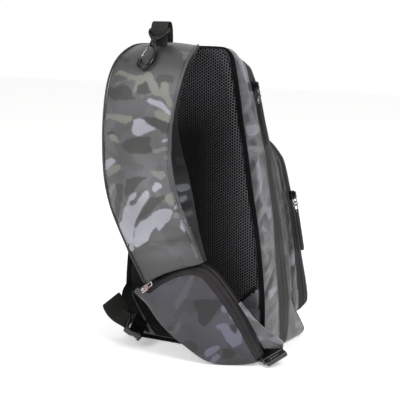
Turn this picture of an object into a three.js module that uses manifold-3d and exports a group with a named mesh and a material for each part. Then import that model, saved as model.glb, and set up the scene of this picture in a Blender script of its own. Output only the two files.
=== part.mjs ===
// Fishing tackle sling bag: a teardrop body with a padded mesh back and a front pocket, a wide padded
// strap that arches off the top seam and ends in a zipped pouch, a snap hook on a webbing loop,
// and a side buckle at each bottom corner.
// Millimetres, +Z up. The wearer's side faces -Y. The origin is on the floor, under the middle of the body.
import * as THREE from 'three';
import { mergeVertices } from 'three/addons/utils/BufferGeometryUtils.js';
import Module from 'manifold-3d';

const wasm = await Module();
wasm.setup();

// Body
const BODY_HEIGHT = 425;
const BODY_WIDTH = 219;
const BODY_DEPTH = 132;
const CLOTH = 2;
const GAP = 0.3;
const PAD_THICKNESS = 9;
const PAD_MARGIN = 2;
const BINDING_WIDTH = 5;
const BINDING_LIP = 1.5;
const BINDING_THICKNESS = 2.4;
const GUSSET_BULGE = 3;
const PUCKER_DEPTH = 4.5;
const FACE_CROWN = 5;

// Front pocket
const POCKET_REACH = 151;
const POCKET_BOTTOM = 30;
const POCKET_TOP = 300;
const POCKET_INSET = 4;
const POCKET_TOP_RADIUS = 50;
const POCKET_BOTTOM_RADIUS = 24;
const POCKET_CROWN = 5;

// Strap
const STRAP_WIDTH = 110;
const STRAP_REACH = 130;
const STRAP_PADDING = 26;
const STRAP_FLARE = 12;
const STRAP_CROWN = 5;
const PIPING_DIAMETER = 2.4;

// Pouch on the strap
const POUCH_ZIP_WIDTH = 9;
const POUCH_RISE = 6;
const POUCH_ZIP_DROP = 8;
const POUCH_GUSSET = 8;
const POUCH_PUFF = 9;
const POUCH_BACKING = 5;
const POUCH_THIN = 0.4;
const TIP_REACH = 33;
const TIP_DROOP = 7;

// Webbing, loop and buckles
const WEBBING_WIDTH = 25;
const WEBBING_THICKNESS = 1.8;
const WAIST_WEBBING_WIDTH = 38;
const LOOP_HEIGHT = 29.7;
const LOOP_SPREAD = 14;
const BUCKLE_LENGTH = 40;
const BUCKLE_THICKNESS = 9;

// Snap hook
const HOOK_LENGTH = 47;
const HOOK_WIDTH = 26;
const HOOK_BAR = 6.4;
const HOOK_EYE_HEIGHT = 19;
const HOOK_EYE_WIRE = 3.4;
const HOOK_GATE = 2.4;
const HOOK_SHANK = 4;
const HOOK_BARREL = 9.6;

// Zips and pulls
const SLIDER_LENGTH = 13;
const SLIDER_WIDTH = 9;
const SLIDER_HEIGHT = 4;
const RING_DIAMETER = 12;
const RING_WIRE = 1.8;
const PULLER_LENGTH = 57;
const PULLER_WIDTH = 8;
const PULLER_THICKNESS = 2.2;
const TAB_LENGTH = 17;

const HALF = BODY_WIDTH / 2;
const BACK_Y = -BODY_DEPTH / 2;

// Half width of the body by height, as shares of half the width and of the height
const SIDE = [
  { z: 0, x: 0.955 },
  { z: 0.008, x: 0.985 },
  { z: 0.03, x: 0.997 },
  { z: 0.108, x: 1 },
  { z: 0.193, x: 0.998 },
  { z: 0.289, x: 0.966 },
  { z: 0.419, x: 0.905 },
  { z: 0.548, x: 0.816 },
  { z: 0.675, x: 0.742 },
  { z: 0.769, x: 0.674 },
  { z: 0.833, x: 0.641 },
  { z: 0.911, x: 0.588 },
  { z: 0.963, x: 0.55 },
  { z: 0.986, x: 0.5 },
  { z: 1, x: 0.42 },
];

// Depth of the body's seams by height: rear and front edge of the zip, and the front wall
const SEAMS = [
  { z: 0, zip: 0.4, front: 0.55, face: 0.93 },
  { z: 0.012, zip: 0.405, front: 0.57, face: 1 },
  { z: 0.04, zip: 0.41, front: 0.6, face: 0.965 },
  { z: 0.08, zip: 0.405, front: 0.615, face: 0.84 },
  { z: 0.148, zip: 0.385, front: 0.61, face: 0.66 },
  { z: 0.22, zip: 0.36, front: 0.585, face: 0.632 },
  { z: 0.33, zip: 0.368, front: 0.565, face: 0.62 },
  { z: 0.45, zip: 0.408, front: 0.545, face: 0.6 },
  { z: 0.62, zip: 0.42, front: 0.51, face: 0.56 },
  { z: 0.79, zip: 0.378, front: 0.45, face: 0.5 },
  { z: 0.87, zip: 0.335, front: 0.42, face: 0.465 },
  { z: 0.93, zip: 0.305, front: 0.395, face: 0.435 },
  { z: 1, zip: 0.285, front: 0.37, face: 0.41 },
];

// How far the top of each seam lies under the top of the back, as shares of the height
const TOP_DROP = { back: 0, zip: 0.036, front: 0.05, face: 0.064 };

// Folds of the rear gusset: height and spread as shares of the height, dent as a share of its depth,
// slant as how far the fold climbs from the back seam to the zip
const PUCKERS = [
  { z: 0.18, spread: 0.016, dent: 0.8, slant: 0.03 },
  { z: 0.3, spread: 0.014, dent: 0.5, slant: -0.02 },
  { z: 0.44, spread: 0.018, dent: 1, slant: 0.04 },
  { z: 0.5, spread: 0.014, dent: 0.6, slant: 0.03 },
  { z: 0.63, spread: 0.02, dent: 1, slant: -0.05 },
  { z: 0.71, spread: 0.016, dent: 0.7, slant: 0.03 },
  { z: 0.83, spread: 0.014, dent: 0.4, slant: 0.02 },
];

// Depth of the pocket by its own height, as shares of its reach: its side seam and its front edge
const POCKET = [
  { z: 0, seam: 0.655, front: 0.955 },
  { z: 0.05, seam: 0.655, front: 1 },
  { z: 0.3, seam: 0.655, front: 0.895 },
  { z: 0.55, seam: 0.655, front: 0.84 },
  { z: 0.78, seam: 0.65, front: 0.79 },
  { z: 1, seam: 0.6, front: 0.7 },
];

// The strap from the top seam to the tip: its middle as shares of half the width, the reach and the
// height, its width, padding and flare as shares, its turn about Z and its tilt in degrees
const STRAP = [
  { row: 0, x: -0.15, y: 0.021, z: 1.0, span: 0.5, pad: 0.1, flare: 0, yaw: 0, roll: 0 },
  { row: 1, x: -0.125, y: 0.308, z: 1.004, span: 0.79, pad: 0.3, flare: 0, yaw: 0, roll: 0 },
  { row: 2, x: -0.04, y: 0.565, z: 0.998, span: 0.91, pad: 0.38, flare: 0, yaw: 1, roll: 0 },
  { row: 3, x: -0.025, y: 0.781, z: 0.964, span: 0.99, pad: 0.38, flare: 0, yaw: 1, roll: 0 },
  { row: 4, x: -0.05, y: 0.9, z: 0.9, span: 1.01, pad: 0.38, flare: 0, yaw: 1, roll: 0 },
  { row: 5, x: -0.08, y: 0.973, z: 0.801, span: 0.96, pad: 0.45, flare: 0.1, yaw: 1, roll: 0 },
  { row: 6, x: -0.1, y: 0.988, z: 0.7, span: 0.92, pad: 0.75, flare: 0.7, yaw: 2, roll: 2 },
  { row: 7, x: -0.1, y: 0.954, z: 0.603, span: 0.93, pad: 1, flare: 1, yaw: 3, roll: 3 },
  { row: 8, x: -0.065, y: 0.892, z: 0.52, span: 0.94, pad: 1, flare: 0.9, yaw: 4, roll: 5 },
  { row: 9, x: 0.003, y: 0.831, z: 0.449, span: 0.92, pad: 0.8, flare: 0.7, yaw: 5, roll: 8 },
  { row: 10, x: 0.097, y: 0.785, z: 0.38, span: 0.89, pad: 0.55, flare: 0.5, yaw: 7, roll: 14 },
  { row: 11, x: 0.207, y: 0.735, z: 0.281, span: 0.96, pad: 0.35, flare: 0.2, yaw: 9, roll: 22 },
  { row: 12, x: 0.336, y: 0.677, z: 0.227, span: 0.973, pad: 0.35, flare: 0, yaw: 10, roll: 22 },
  { row: 13, x: 0.437, y: 0.619, z: 0.181, span: 0.978, pad: 0.35, flare: 0, yaw: 12, roll: 21 },
  { row: 14, x: 0.563, y: 0.554, z: 0.13, span: 0.926, pad: 0.35, flare: 0, yaw: 14, roll: 19 },
  { row: 15, x: 0.723, y: 0.473, z: 0.072, span: 0.791, pad: 0.35, flare: 0, yaw: 19, roll: 16 },
  { row: 16, x: 0.892, y: 0.385, z: 0.015, span: 0.638, pad: 0.35, flare: 0, yaw: 24, roll: 11 },
];
const BAND_MARGIN = 0.108;
const BAND_CORNER = 0.78;

// The strap's left edge where the wider pouch begins, as a share of half the width
const BAND_LEFT = [
  { row: 0, side: -0.95 },
  { row: 9.8, side: -0.95 },
  { row: 10.2, side: -0.87 },
  { row: 10.45, side: -0.79 },
  { row: 10.9, side: -0.7 },
];

// The pouch's zip on the strap, from the left corner over the crest and down the right side
const POUCH_ARCH = [
  { step: 0, row: 11.15, side: -1 },
  { step: 1, row: 10.98, side: -0.72 },
  { step: 2, row: 10.86, side: -0.36 },
  { step: 3, row: 10.78, side: 0.02 },
  { step: 4, row: 10.76, side: 0.4 },
  { step: 5, row: 10.86, side: 0.74 },
  { step: 6, row: 11.15, side: 0.94 },
  { step: 7, row: 11.6, side: 1 },
  { step: 8, row: 12.3, side: 1 },
  { step: 9, row: 13.2, side: 1 },
  { step: 10, row: 14.1, side: 1 },
  { step: 11, row: 15, side: 1 },
  { step: 12, row: 15.95, side: 1 },
];

// The pouch's left edge and its foot, from the same corner to the same end
const POUCH_EDGE = [
  { step: 0, row: 11.5, side: -1 },
  { step: 1, row: 11.8, side: -1 },
  { step: 2, row: 12.2, side: -1 },
  { step: 3, row: 12.8, side: -1 },
  { step: 4, row: 13.4, side: -1 },
  { step: 5, row: 14, side: -1 },
  { step: 6, row: 14.6, side: -1 },
  { step: 7, row: 15.15, side: -1 },
  { step: 8, row: 15.7, side: -1 },
  { step: 9, row: 16.1, side: -0.72 },
  { step: 10, row: 16.2, side: -0.15 },
  { step: 11, row: 16.25, side: 0.35 },
  { step: 12, row: 16.2, side: 0.78 },
];

// The tongue that runs on past the pouch: its outer edge as a share of its reach
const TIP = [
  { row: 13.5, out: 0.07 },
  { row: 14.5, out: 0.28 },
  { row: 15.05, out: 0.64 },
  { row: 15.45, out: 1 },
  { row: 15.75, out: 0.85 },
];

const FABRIC = { color: 0x5a5c61, roughness: 0.5 };
const DARK_FABRIC = { color: 0x45464c, roughness: 0.6 };
const MESH_FABRIC = { color: 0x121214, roughness: 0.9 };
const ZIP_TAPE = { color: 0x303134, roughness: 0.75 };
const WEBBING = { color: 0x2c2d2c, roughness: 0.85 };
const PLASTIC = { color: 0x141416, roughness: 0.45 };
const BLACK_METAL = { color: 0x1c1c1e, roughness: 0.35, metalness: 0.8 };
const STEEL = { color: 0xb9b4b0, roughness: 0.3, metalness: 1 };

const bag = new THREE.Group();

// A smooth column of a table, read at a value of its key column
function sample(rows, key, column, at) {
  const last = rows.length - 1;
  const place = Math.min(Math.max(at, rows[0][key]), rows[last][key]);
  let i = 0;
  while (i < last - 1 && rows[i + 1][key] < place) {
    i += 1;
  }
  const slope = (j) => {
    const before = rows[Math.max(j - 1, 0)];
    const after = rows[Math.min(j + 1, last)];
    return (after[column] - before[column]) / (after[key] - before[key]);
  };
  const gap = rows[i + 1][key] - rows[i][key];
  const s = (place - rows[i][key]) / gap;
  const start = (2 * s ** 3 - 3 * s ** 2 + 1) * rows[i][column] + (s ** 3 - 2 * s ** 2 + s) * gap * slope(i);
  const end = (3 * s ** 2 - 2 * s ** 3) * rows[i + 1][column] + (s ** 3 - s ** 2) * gap * slope(i + 1);
  return start + end;
}

function range(count, from, to) {
  return Array.from({ length: count + 1 }, (_, i) => from + ((to - from) * i) / count);
}

// Triangles of a flat or nearly flat closed polygon, as indices into it
function capTriangles(section) {
  const centre = section.reduce((sum, p) => sum.add(p), new THREE.Vector3()).divideScalar(section.length);
  const normal = new THREE.Vector3();
  section.forEach((p, i) => {
    const next = section[(i + 1) % section.length];
    normal.add(p.clone().sub(centre).cross(next.clone().sub(centre)));
  });
  normal.normalize();
  const across = section[1].clone().sub(section[0]).projectOnPlane(normal).normalize();
  const up = normal.clone().cross(across);
  const flat = section.map((p) => {
    const arm = p.clone().sub(centre);
    return new THREE.Vector2(arm.dot(across), arm.dot(up));
  });
  return THREE.ShapeUtils.triangulateShape(flat, []);
}

// A closed body through sections with equally many points, as a ring or with its two ends capped
function loft(sections, closed = false) {
  const count = sections[0].length;
  const rings = sections.length;
  const index = [];
  for (let i = 0; i < (closed ? rings : rings - 1); i += 1) {
    for (let j = 0; j < count; j += 1) {
      const a = i * count + j;
      const b = i * count + ((j + 1) % count);
      const c = ((i + 1) % rings) * count + ((j + 1) % count);
      const d = ((i + 1) % rings) * count + j;
      index.push(a, b, c, a, c, d);
    }
  }
  if (!closed) {
    const end = (rings - 1) * count;
    capTriangles(sections[0]).forEach(([a, b, c]) => index.push(c, b, a));
    capTriangles(sections[rings - 1]).forEach(([a, b, c]) => index.push(end + a, end + b, end + c));
  }
  const points = sections.flat();
  const volume = new THREE.Vector3();
  let sixfold = 0;
  for (let k = 0; k < index.length; k += 3) {
    const [a, b, c] = [points[index[k]], points[index[k + 1]], points[index[k + 2]]];
    sixfold += volume.copy(b).cross(c).dot(a);
  }
  if (sixfold < 0) {
    index.reverse();
  }
  const geometry = new THREE.BufferGeometry();
  geometry.setAttribute('position', new THREE.Float32BufferAttribute(points.flatMap((p) => p.toArray()), 3));
  geometry.setIndex(index);
  return geometry;
}

function solidOf(geometry) {
  const bare = geometry.clone();
  bare.deleteAttribute('normal');
  bare.deleteAttribute('uv');
  const merged = mergeVertices(bare, 1e-4);
  const triVerts = merged.index
    ? new Uint32Array(merged.index.array)
    : Uint32Array.from({ length: merged.attributes.position.count }, (_, i) => i);
  const vertProperties = new Float32Array(merged.attributes.position.array);
  return new wasm.Manifold(new wasm.Mesh({ numProp: 3, vertProperties, triVerts }));
}

function geometryOf(solid) {
  const mesh = solid.getMesh();
  const geometry = new THREE.BufferGeometry();
  geometry.setAttribute('position', new THREE.Float32BufferAttribute(mesh.vertProperties, 3));
  geometry.setIndex(Array.from(mesh.triVerts));
  return geometry;
}

function join(first, ...others) {
  return geometryOf(others.reduce((sum, other) => sum.add(solidOf(other)), solidOf(first)));
}

function cut(first, ...others) {
  return geometryOf(others.reduce((rest, other) => rest.subtract(solidOf(other)), solidOf(first)));
}

function add(name, geometry, look, parent = bag) {
  const mesh = new THREE.Mesh(geometry, new THREE.MeshStandardMaterial(look));
  mesh.name = name;
  parent.add(mesh);
  return mesh;
}

// A flat strip of webbing along points, its width along one direction at each
function webbing(path, width, across, thickness = WEBBING_THICKNESS) {
  const sections = path.map((point, i) => {
    const ahead = path[Math.min(i + 1, path.length - 1)].clone().sub(path[Math.max(i - 1, 0)]).normalize();
    const wide = across[i].clone().projectOnPlane(ahead).setLength(width / 2);
    const thick = ahead.clone().cross(wide).setLength(thickness / 2);
    return [[1, 1], [-1, 1], [-1, -1], [1, -1]].map(([u, v]) =>
      point.clone().addScaledVector(wide, u).addScaledVector(thick, v));
  });
  return loft(sections);
}

// A round bar along points
function bar(path, diameter, sides = 6) {
  const sections = path.map((point, i) => {
    const ahead = path[Math.min(i + 1, path.length - 1)].clone().sub(path[Math.max(i - 1, 0)]).normalize();
    const first = new THREE.Vector3(0.31, 0.17, 0.93).projectOnPlane(ahead).normalize();
    const second = ahead.clone().cross(first);
    return range(sides - 1, 0, (2 * Math.PI * (sides - 1)) / sides).map((angle) =>
      point.clone()
        .addScaledVector(first, (Math.cos(angle) * diameter) / 2)
        .addScaledVector(second, (Math.sin(angle) * diameter) / 2));
  });
  return loft(sections);
}

// Body outline
function halfWidth(z) {
  return HALF * sample(SIDE, 'z', 'x', z / BODY_HEIGHT);
}

function topDrop(share, drop) {
  const rise = Math.max(0, (share - 0.72) / 0.28);
  return drop * rise * rise;
}

function seamY(z, seam) {
  return seam === 'back' ? BACK_Y : BACK_Y + BODY_DEPTH * sample(SEAMS, 'z', seam, z / BODY_HEIGHT);
}

// Heights down the side, each stretch of the outline table parted in equal steps
function sideHeights(steps) {
  const shares = SIDE.slice(1).flatMap((row, i) => range(steps, SIDE[i].z, row.z).slice(1));
  return shares.map((z) => z * BODY_HEIGHT);
}

// A seam all round the body, from the middle of the base up the right side and down the left
function seamLoop(seam, steps, { inset = 0, offset = 0 } = {}) {
  const wide = (z) => halfWidth(z) - inset;
  const point = (x, z) => {
    const low = z - BODY_HEIGHT * topDrop(z / BODY_HEIGHT, TOP_DROP[seam]);
    const sink = z > BODY_HEIGHT / 2 ? -inset : inset * Math.max(0, 1 - z / (4 * CLOTH));
    const tuck = z > 0.98 * BODY_HEIGHT ? -inset : 0;
    return new THREE.Vector3(x, seamY(z, seam) + offset, low + tuck + Math.max(sink, 0));
  };
  const right = [
    ...[0, 0.35, 0.7].map((share) => point(share * wide(0), 0)),
    point(wide(0), 0),
    ...sideHeights(steps).map((z) => point(wide(z), z)),
  ];
  const mirrored = right.slice(1).reverse().map((p) => new THREE.Vector3(-p.x, p.y, p.z));
  const top = new THREE.Vector3(0, right.at(-1).y, right.at(-1).z);
  return [...right, top, ...mirrored];
}

// A wall between two seams, with a bulge outward given by place round the loop and share across
function wall(from, to, steps, bulge, { closed = true, thickness = CLOTH } = {}) {
  const middle = new THREE.Vector3(0, 0, BODY_HEIGHT * 0.4);
  const sections = from.map((a, i) => {
    const b = to[i];
    const count = from.length;
    const before = closed ? from[(i + count - 1) % count] : from[Math.max(i - 1, 0)];
    const after = closed ? from[(i + 1) % count] : from[Math.min(i + 1, count - 1)];
    const out = new THREE.Vector3(after.z - before.z, 0, before.x - after.x).normalize();
    if (out.dot(a.clone().sub(middle)) < 0) {
      out.negate();
    }
    const line = (depth) => range(steps, 0, 1).map((share) =>
      a.clone().lerp(b, share).addScaledVector(out, bulge(a, share) - depth));
    return [...line(0), ...line(thickness).reverse()];
  });
  return loft(sections, closed);
}

function nudge(loop, y) {
  return loop.map((p) => new THREE.Vector3(p.x, p.y + y, p.z));
}

// How much a side wall may bulge: none on the base and at its seams
function sideBulge(point, share) {
  const clear = Math.min(1, Math.max(0, point.z / (0.05 * BODY_HEIGHT)));
  return clear * Math.sin(Math.PI * share);
}

function pucker(point, share) {
  const dents = PUCKERS.map(({ z, spread, dent, slant }) => {
    const away = (point.z / BODY_HEIGHT - z - slant * (share - 0.5)) / spread;
    return dent * Math.exp(-away * away);
  });
  return PUCKER_DEPTH * dents.reduce((sum, dent) => sum + dent, 0) * Math.sin(Math.PI * share) ** 0.6;
}

function rearGusset() {
  const rear = seamLoop('back', 3, { offset: CLOTH + GAP });
  const front = nudge(seamLoop('zip', 3), -GAP / 2);
  return wall(rear, front, 3, (p, share) => GUSSET_BULGE * sideBulge(p, share) - pucker(p, share));
}

// The zip runs from one bottom corner over the top to the other; the base panel closes it below
const BASE_POINTS = 3;

function mainZip() {
  const rear = nudge(seamLoop('zip', 2), GAP / 2).slice(BASE_POINTS, -BASE_POINTS + 1);
  const front = nudge(seamLoop('front', 2), -GAP).slice(BASE_POINTS, -BASE_POINTS + 1);
  return wall(rear, front, 2, () => 0, { closed: false });
}

function basePanel() {
  const reach = HALF * SIDE[0].x - CLOTH;
  const section = (x) => {
    const y0 = seamY(0, 'zip') + GAP / 2;
    const y1 = seamY(0, 'front') - GAP / 2;
    return [[y0, 0], [y1, 0], [y1, CLOTH], [y0, CLOTH]].map(([y, z]) => new THREE.Vector3(x, y, z));
  };
  return loft(range(2, -reach, reach).map(section));
}

function frontGusset() {
  const rear = nudge(seamLoop('front', 2), GAP / 2);
  const front = nudge(seamLoop('face', 2), -GAP / 2);
  return wall(rear, front, 2, (p, share) => GUSSET_BULGE * 0.5 * sideBulge(p, share));
}

// A sheet by rows of height, as wide as given, its outer face at a depth given by place
function panel(heights, wide, face, thickness, columns = 4) {
  const sections = heights.map((z) => {
    const w = wide(z);
    const line = (depth) => range(columns, -w, w).map((x) => new THREE.Vector3(x, face(x, z) + depth, z));
    return [...line(0), ...line(thickness(z)).reverse()];
  });
  return loft(sections);
}

function backWall() {
  const heights = [0, ...sideHeights(1)];
  return panel(heights, halfWidth, () => BACK_Y, () => CLOTH);
}

// The padded mesh back, with its lower corners cut off
function backPad() {
  const lowest = BINDING_WIDTH + CLOTH;
  const highest = BODY_HEIGHT - PAD_MARGIN - CLOTH;
  const chamfer = BODY_HEIGHT * 0.14;
  const wide = (z) => {
    const corner = Math.max(0, 1 - (z - lowest) / chamfer) * HALF * 0.38;
    return Math.min(halfWidth(z), halfWidth(z + PAD_MARGIN)) - PAD_MARGIN - 1 - corner;
  };
  const heights = [0, 0.02, 0.07, 0.14, 0.2, 0.35, 0.5, 0.65, 0.8, 0.9, 0.96, 1]
    .map((share) => lowest + share * (highest - lowest));
  const sections = heights.map((z, i) => {
    const w = wide(z);
    const end = i === 0 || i === heights.length - 1 ? 0.35 : 1;
    const rise = [0.35, 0.9, 1, 1, 1, 0.9, 0.35].map((share) => share * end * PAD_THICKNESS);
    const places = [-1, -0.93, -0.5, 0, 0.5, 0.93, 1];
    const outer = places.map((share, k) => new THREE.Vector3(share * w, BACK_Y - GAP - rise[k], z));
    const inner = places.map((share) => new THREE.Vector3(share * w, BACK_Y - GAP, z)).reverse();
    return [...outer, ...inner];
  });
  return loft(sections);
}

// Binding tape folded over the seam round the edge of the back, standing out as a fin at the sides
function backBinding() {
  const outer = seamLoop('back', 2);
  const middle = new THREE.Vector3(0, BACK_Y, BODY_HEIGHT * 0.45);
  const sections = outer.map((p, i) => {
    const before = outer[(i + outer.length - 1) % outer.length];
    const after = outer[(i + 1) % outer.length];
    const inward = after.clone().sub(before).cross(new THREE.Vector3(0, 1, 0)).normalize();
    if (inward.dot(middle.clone().sub(p)) < 0) {
      inward.negate();
    }
    const fin = -BINDING_WIDTH * inward.x ** 2;
    const under = p.z > BODY_HEIGHT / 2 ? 0 : inward.z ** 2;
    const lip = BINDING_LIP + (BINDING_WIDTH - BINDING_LIP) * under;
    return [[fin, GAP], [lip, GAP], [lip, BINDING_THICKNESS], [fin, BINDING_THICKNESS]]
      .map(([depth, back]) => p.clone().addScaledVector(inward, depth).add(new THREE.Vector3(0, -back, 0)));
  });
  return loft(sections, true);
}

function faceY(x, z) {
  const share = x / halfWidth(z);
  return seamY(z, 'face') + FACE_CROWN * (1 - share * share) * Math.min(1, z / (0.1 * BODY_HEIGHT));
}

function frontHeights() {
  return [0, ...sideHeights(2)];
}

function frontWall() {
  const drop = (z) => z - BODY_HEIGHT * topDrop(z / BODY_HEIGHT, TOP_DROP.face);
  const sections = frontHeights().map((z) => {
    const w = halfWidth(z);
    const line = (depth) => {
      return range(4, -w, w).map((x) => new THREE.Vector3(x, faceY(x, z) + GAP + depth, drop(z)));
    };
    return [...line(0), ...line(CLOTH).reverse()];
  });
  return loft(sections);
}

// Pocket outline, by height
function pocketHalfWidth(z) {
  const over = Math.max(0, z - (POCKET_TOP - POCKET_TOP_RADIUS));
  const under = Math.max(0, POCKET_BOTTOM + POCKET_BOTTOM_RADIUS - z);
  const round = (radius, distance) => radius - Math.sqrt(Math.max(0, radius ** 2 - distance ** 2));
  return halfWidth(z) - POCKET_INSET - round(POCKET_TOP_RADIUS, over) - round(POCKET_BOTTOM_RADIUS, under);
}

function pocketHeights() {
  const bend = (radius, from, sign) => {
    return [1, 0.97, 0.86, 0.6, 0.3, 0].map((s) => from + sign * (1 - s) * radius);
  };
  const ends = [...bend(POCKET_BOTTOM_RADIUS, POCKET_BOTTOM, 1), ...bend(POCKET_TOP_RADIUS, POCKET_TOP, -1)];
  const between = frontHeights().filter((z) => z > POCKET_BOTTOM && z < POCKET_TOP);
  const all = [...ends, ...between].sort((a, b) => a - b);
  return all.filter((z, i) => i === 0 || z - all[i - 1] > 1e-6);
}

function pocketShare(z) {
  return (z - POCKET_BOTTOM) / (POCKET_TOP - POCKET_BOTTOM);
}

function pocketFrontY(z) {
  return BACK_Y + POCKET_REACH * sample(POCKET, 'z', 'front', pocketShare(z));
}

function pocketSeamY(z) {
  const seam = BACK_Y + POCKET_REACH * sample(POCKET, 'z', 'seam', pocketShare(z));
  return Math.max(seam, faceY(0, z) + 3 * CLOTH);
}

// Depth of the body's front wall behind the pocket's edge
function wallY(x, z) {
  const heights = frontHeights();
  const i = heights.findLastIndex((height) => height <= z);
  const share = (z - heights[i]) / (heights[i + 1] - heights[i]);
  return faceY(x, heights[i]) * (1 - share) + faceY(x, heights[i + 1]) * share + CLOTH + 3 * GAP;
}

function pocketLoop(depth, inset = 0) {
  const heights = pocketHeights();
  const right = heights.map((z) => {
    const x = pocketHalfWidth(z) - inset;
    const lift = z < POCKET_BOTTOM + 1 ? inset : z > POCKET_TOP - 1 ? -inset : 0;
    return new THREE.Vector3(x, depth(x, z), z + lift);
  });
  const left = [...right].reverse().map((p) => new THREE.Vector3(-p.x, p.y, p.z));
  const across = (z, x) => new THREE.Vector3(x, depth(x, z), z);
  const [low, high, near] = [right[0].z, right.at(-1).z, halfWidth(POCKET_TOP) / 2];
  return [across(low, 0), across(low, near), ...right, across(high, 0), ...left, across(low, -near)];
}

function pocketWall(from, to, bulge) {
  return wall(from, to, 2, (p, share) => bulge * Math.sin(Math.PI * share));
}

function pocketGusset() {
  return pocketWall(pocketLoop(wallY), pocketLoop((x, z) => pocketSeamY(z) - GAP), 1.5);
}

function pocketZip() {
  return pocketWall(pocketLoop((x, z) => pocketSeamY(z) + GAP / 2), pocketLoop((x, z) => pocketFrontY(z)), 2);
}

function pocketFace() {
  const wide = (z) => pocketHalfWidth(z);
  const face = (x, z) => {
    const share = x / Math.max(wide(z), 1);
    const height = Math.sin(Math.PI * pocketShare(z)) ** 0.5;
    return pocketFrontY(z) + GAP + POCKET_CROWN * (1 - share * share) * height;
  };
  return panel(pocketHeights(), wide, face, () => CLOTH, 6);
}

// Strap frame at a row: middle of the outer face, direction across, and direction outward
function strapFrame(row) {
  const middle = (at) => new THREE.Vector3(
    HALF * sample(STRAP, 'row', 'x', at),
    BACK_Y - STRAP_REACH * sample(STRAP, 'row', 'y', at),
    BODY_HEIGHT * sample(STRAP, 'row', 'z', at),
  );
  const last = STRAP.at(-1).row;
  const behind = middle(Math.max(Math.min(row, last) - 0.3, 0));
  const ahead = middle(Math.min(row + 0.3, last)).sub(behind).normalize();
  const yaw = THREE.MathUtils.degToRad(sample(STRAP, 'row', 'yaw', row));
  const roll = THREE.MathUtils.degToRad(sample(STRAP, 'row', 'roll', row));
  const level = Math.cos(roll);
  const across = new THREE.Vector3(level * Math.cos(yaw), level * Math.sin(yaw), Math.sin(roll));
  const outward = ahead.clone().cross(across).normalize();
  const centre = middle(row).addScaledVector(ahead, Math.max(0, row - last) * HALF * 0.3);
  return { centre, across, outward, ahead, half: (STRAP_WIDTH * sample(STRAP, 'row', 'span', row)) / 2 };
}

// A point on the strap: side as a share of half its width, out from its face in millimetres
function strapPoint(row, side, out = 0, extra = 0) {
  const frame = strapFrame(row);
  const point = frame.centre.clone()
    .addScaledVector(frame.across, frame.half * side + extra)
    .addScaledVector(frame.outward, out);
  point.z = Math.max(point.z, 0);
  return point;
}

function strapPad(row) {
  return STRAP_PADDING * sample(STRAP, 'row', 'pad', row);
}

// Row of the pouch's zip above a place across the strap
function archRow(side) {
  const arch = POUCH_ARCH.filter((point) => point.side < 1 || point.row < 12);
  return sample(arch, 'side', 'row', side);
}

// The band's own row and side at a share of its length, its end cut along the pouch's zip
function bandPlace(share, side) {
  const straight = share * archRow(0);
  const left = sample(BAND_LEFT, 'row', 'side', straight);
  const place = side < 0 ? -left * side : side;
  const end = archRow(Math.min(place, BAND_CORNER)) - BAND_MARGIN;
  return { row: straight + (end - archRow(0)) * share ** 8, side: place };
}

function strapBand() {
  const sections = range(30, 0, 1).map((share) => {
    const middle = share * archRow(0);
    const pad = strapPad(middle);
    const flare = STRAP_FLARE * sample(STRAP, 'row', 'flare', middle);
    const crown = STRAP_CROWN * Math.min(1, middle);
    const at = (side, out, extra = 0) => {
      const place = bandPlace(share, side);
      return strapPoint(place.row, place.side, out, extra);
    };
    const outer = range(6, -1, 1).map((side) => at(side, crown * (1 - side * side)));
    const right = at(1, -pad * 0.55, flare * 0.7);
    const inner = range(3, 1, -1).map((side) => at(side, -pad, Math.max(side, 0) * flare));
    const left = at(-1, -pad * 0.5, -0.2 * flare);
    return [...outer, right, ...inner, left];
  });
  return loft(sections);
}

function strapPiping(side) {
  const reach = PIPING_DIAMETER / 2 + 2 * GAP;
  const path = range(30, 0.05, 1).map((share) => {
    const place = bandPlace(share, side);
    return strapPoint(place.row, place.side, reach * 0.4, side * reach);
  });
  return bar(path, PIPING_DIAMETER, 5);
}

// The pouch's zip line and its frame: point, direction inward over the pouch's face, and outward
function pouchLine(count) {
  const last = POUCH_ARCH.at(-1).step;
  const places = range(count, 0, last).map((step) => ({
    row: sample(POUCH_ARCH, 'step', 'row', step),
    side: sample(POUCH_ARCH, 'step', 'side', step),
    edgeRow: sample(POUCH_EDGE, 'step', 'row', step),
    edgeSide: sample(POUCH_EDGE, 'step', 'side', step),
  }));
  const points = places.map(({ row, side }) => strapPoint(row, side));
  return places.map((place, i) => {
    const ahead = points[Math.min(i + 1, count)].clone().sub(points[Math.max(i - 1, 0)]).normalize();
    const { outward } = strapFrame(Math.min(place.row, STRAP.at(-1).row));
    const inward = outward.clone().cross(ahead).normalize();
    const edge = strapPoint(place.edgeRow, place.edgeSide);
    if (i > 1 && inward.dot(edge.clone().sub(points[i])) < 0) {
      inward.negate();
    }
    const share = i / count;
    const depth = Math.min(1, POUCH_THIN + 5 * Math.min(share, 1 - share));
    const at = (inside, out) => {
      const deep = out < 0 ? out * depth : out;
      const point = points[i].clone().addScaledVector(inward, inside).addScaledVector(outward, deep);
      point.z = Math.max(point.z, 0);
      return point;
    };
    return { at, edge, outward, share, depth };
  });
}

const POUCH_STATIONS = 24;

function pouchFront() {
  const sections = pouchLine(POUCH_STATIONS).map(({ at, edge, outward, share }) => {
    const seam = at(POUCH_ZIP_WIDTH / 2 + 3.8, POUCH_RISE);
    const puff = POUCH_PUFF * Math.sin(Math.PI * Math.min(1, share + 0.03));
    const line = (depth) => range(5, 0, 1).map((s) => {
      const point = seam.clone().lerp(edge, s).addScaledVector(outward, puff * Math.sin(Math.PI * s) - depth);
      point.z = Math.max(point.z, 0);
      return point;
    });
    return [...line(0), ...line(CLOTH).reverse()];
  });
  return loft(sections);
}

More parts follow.
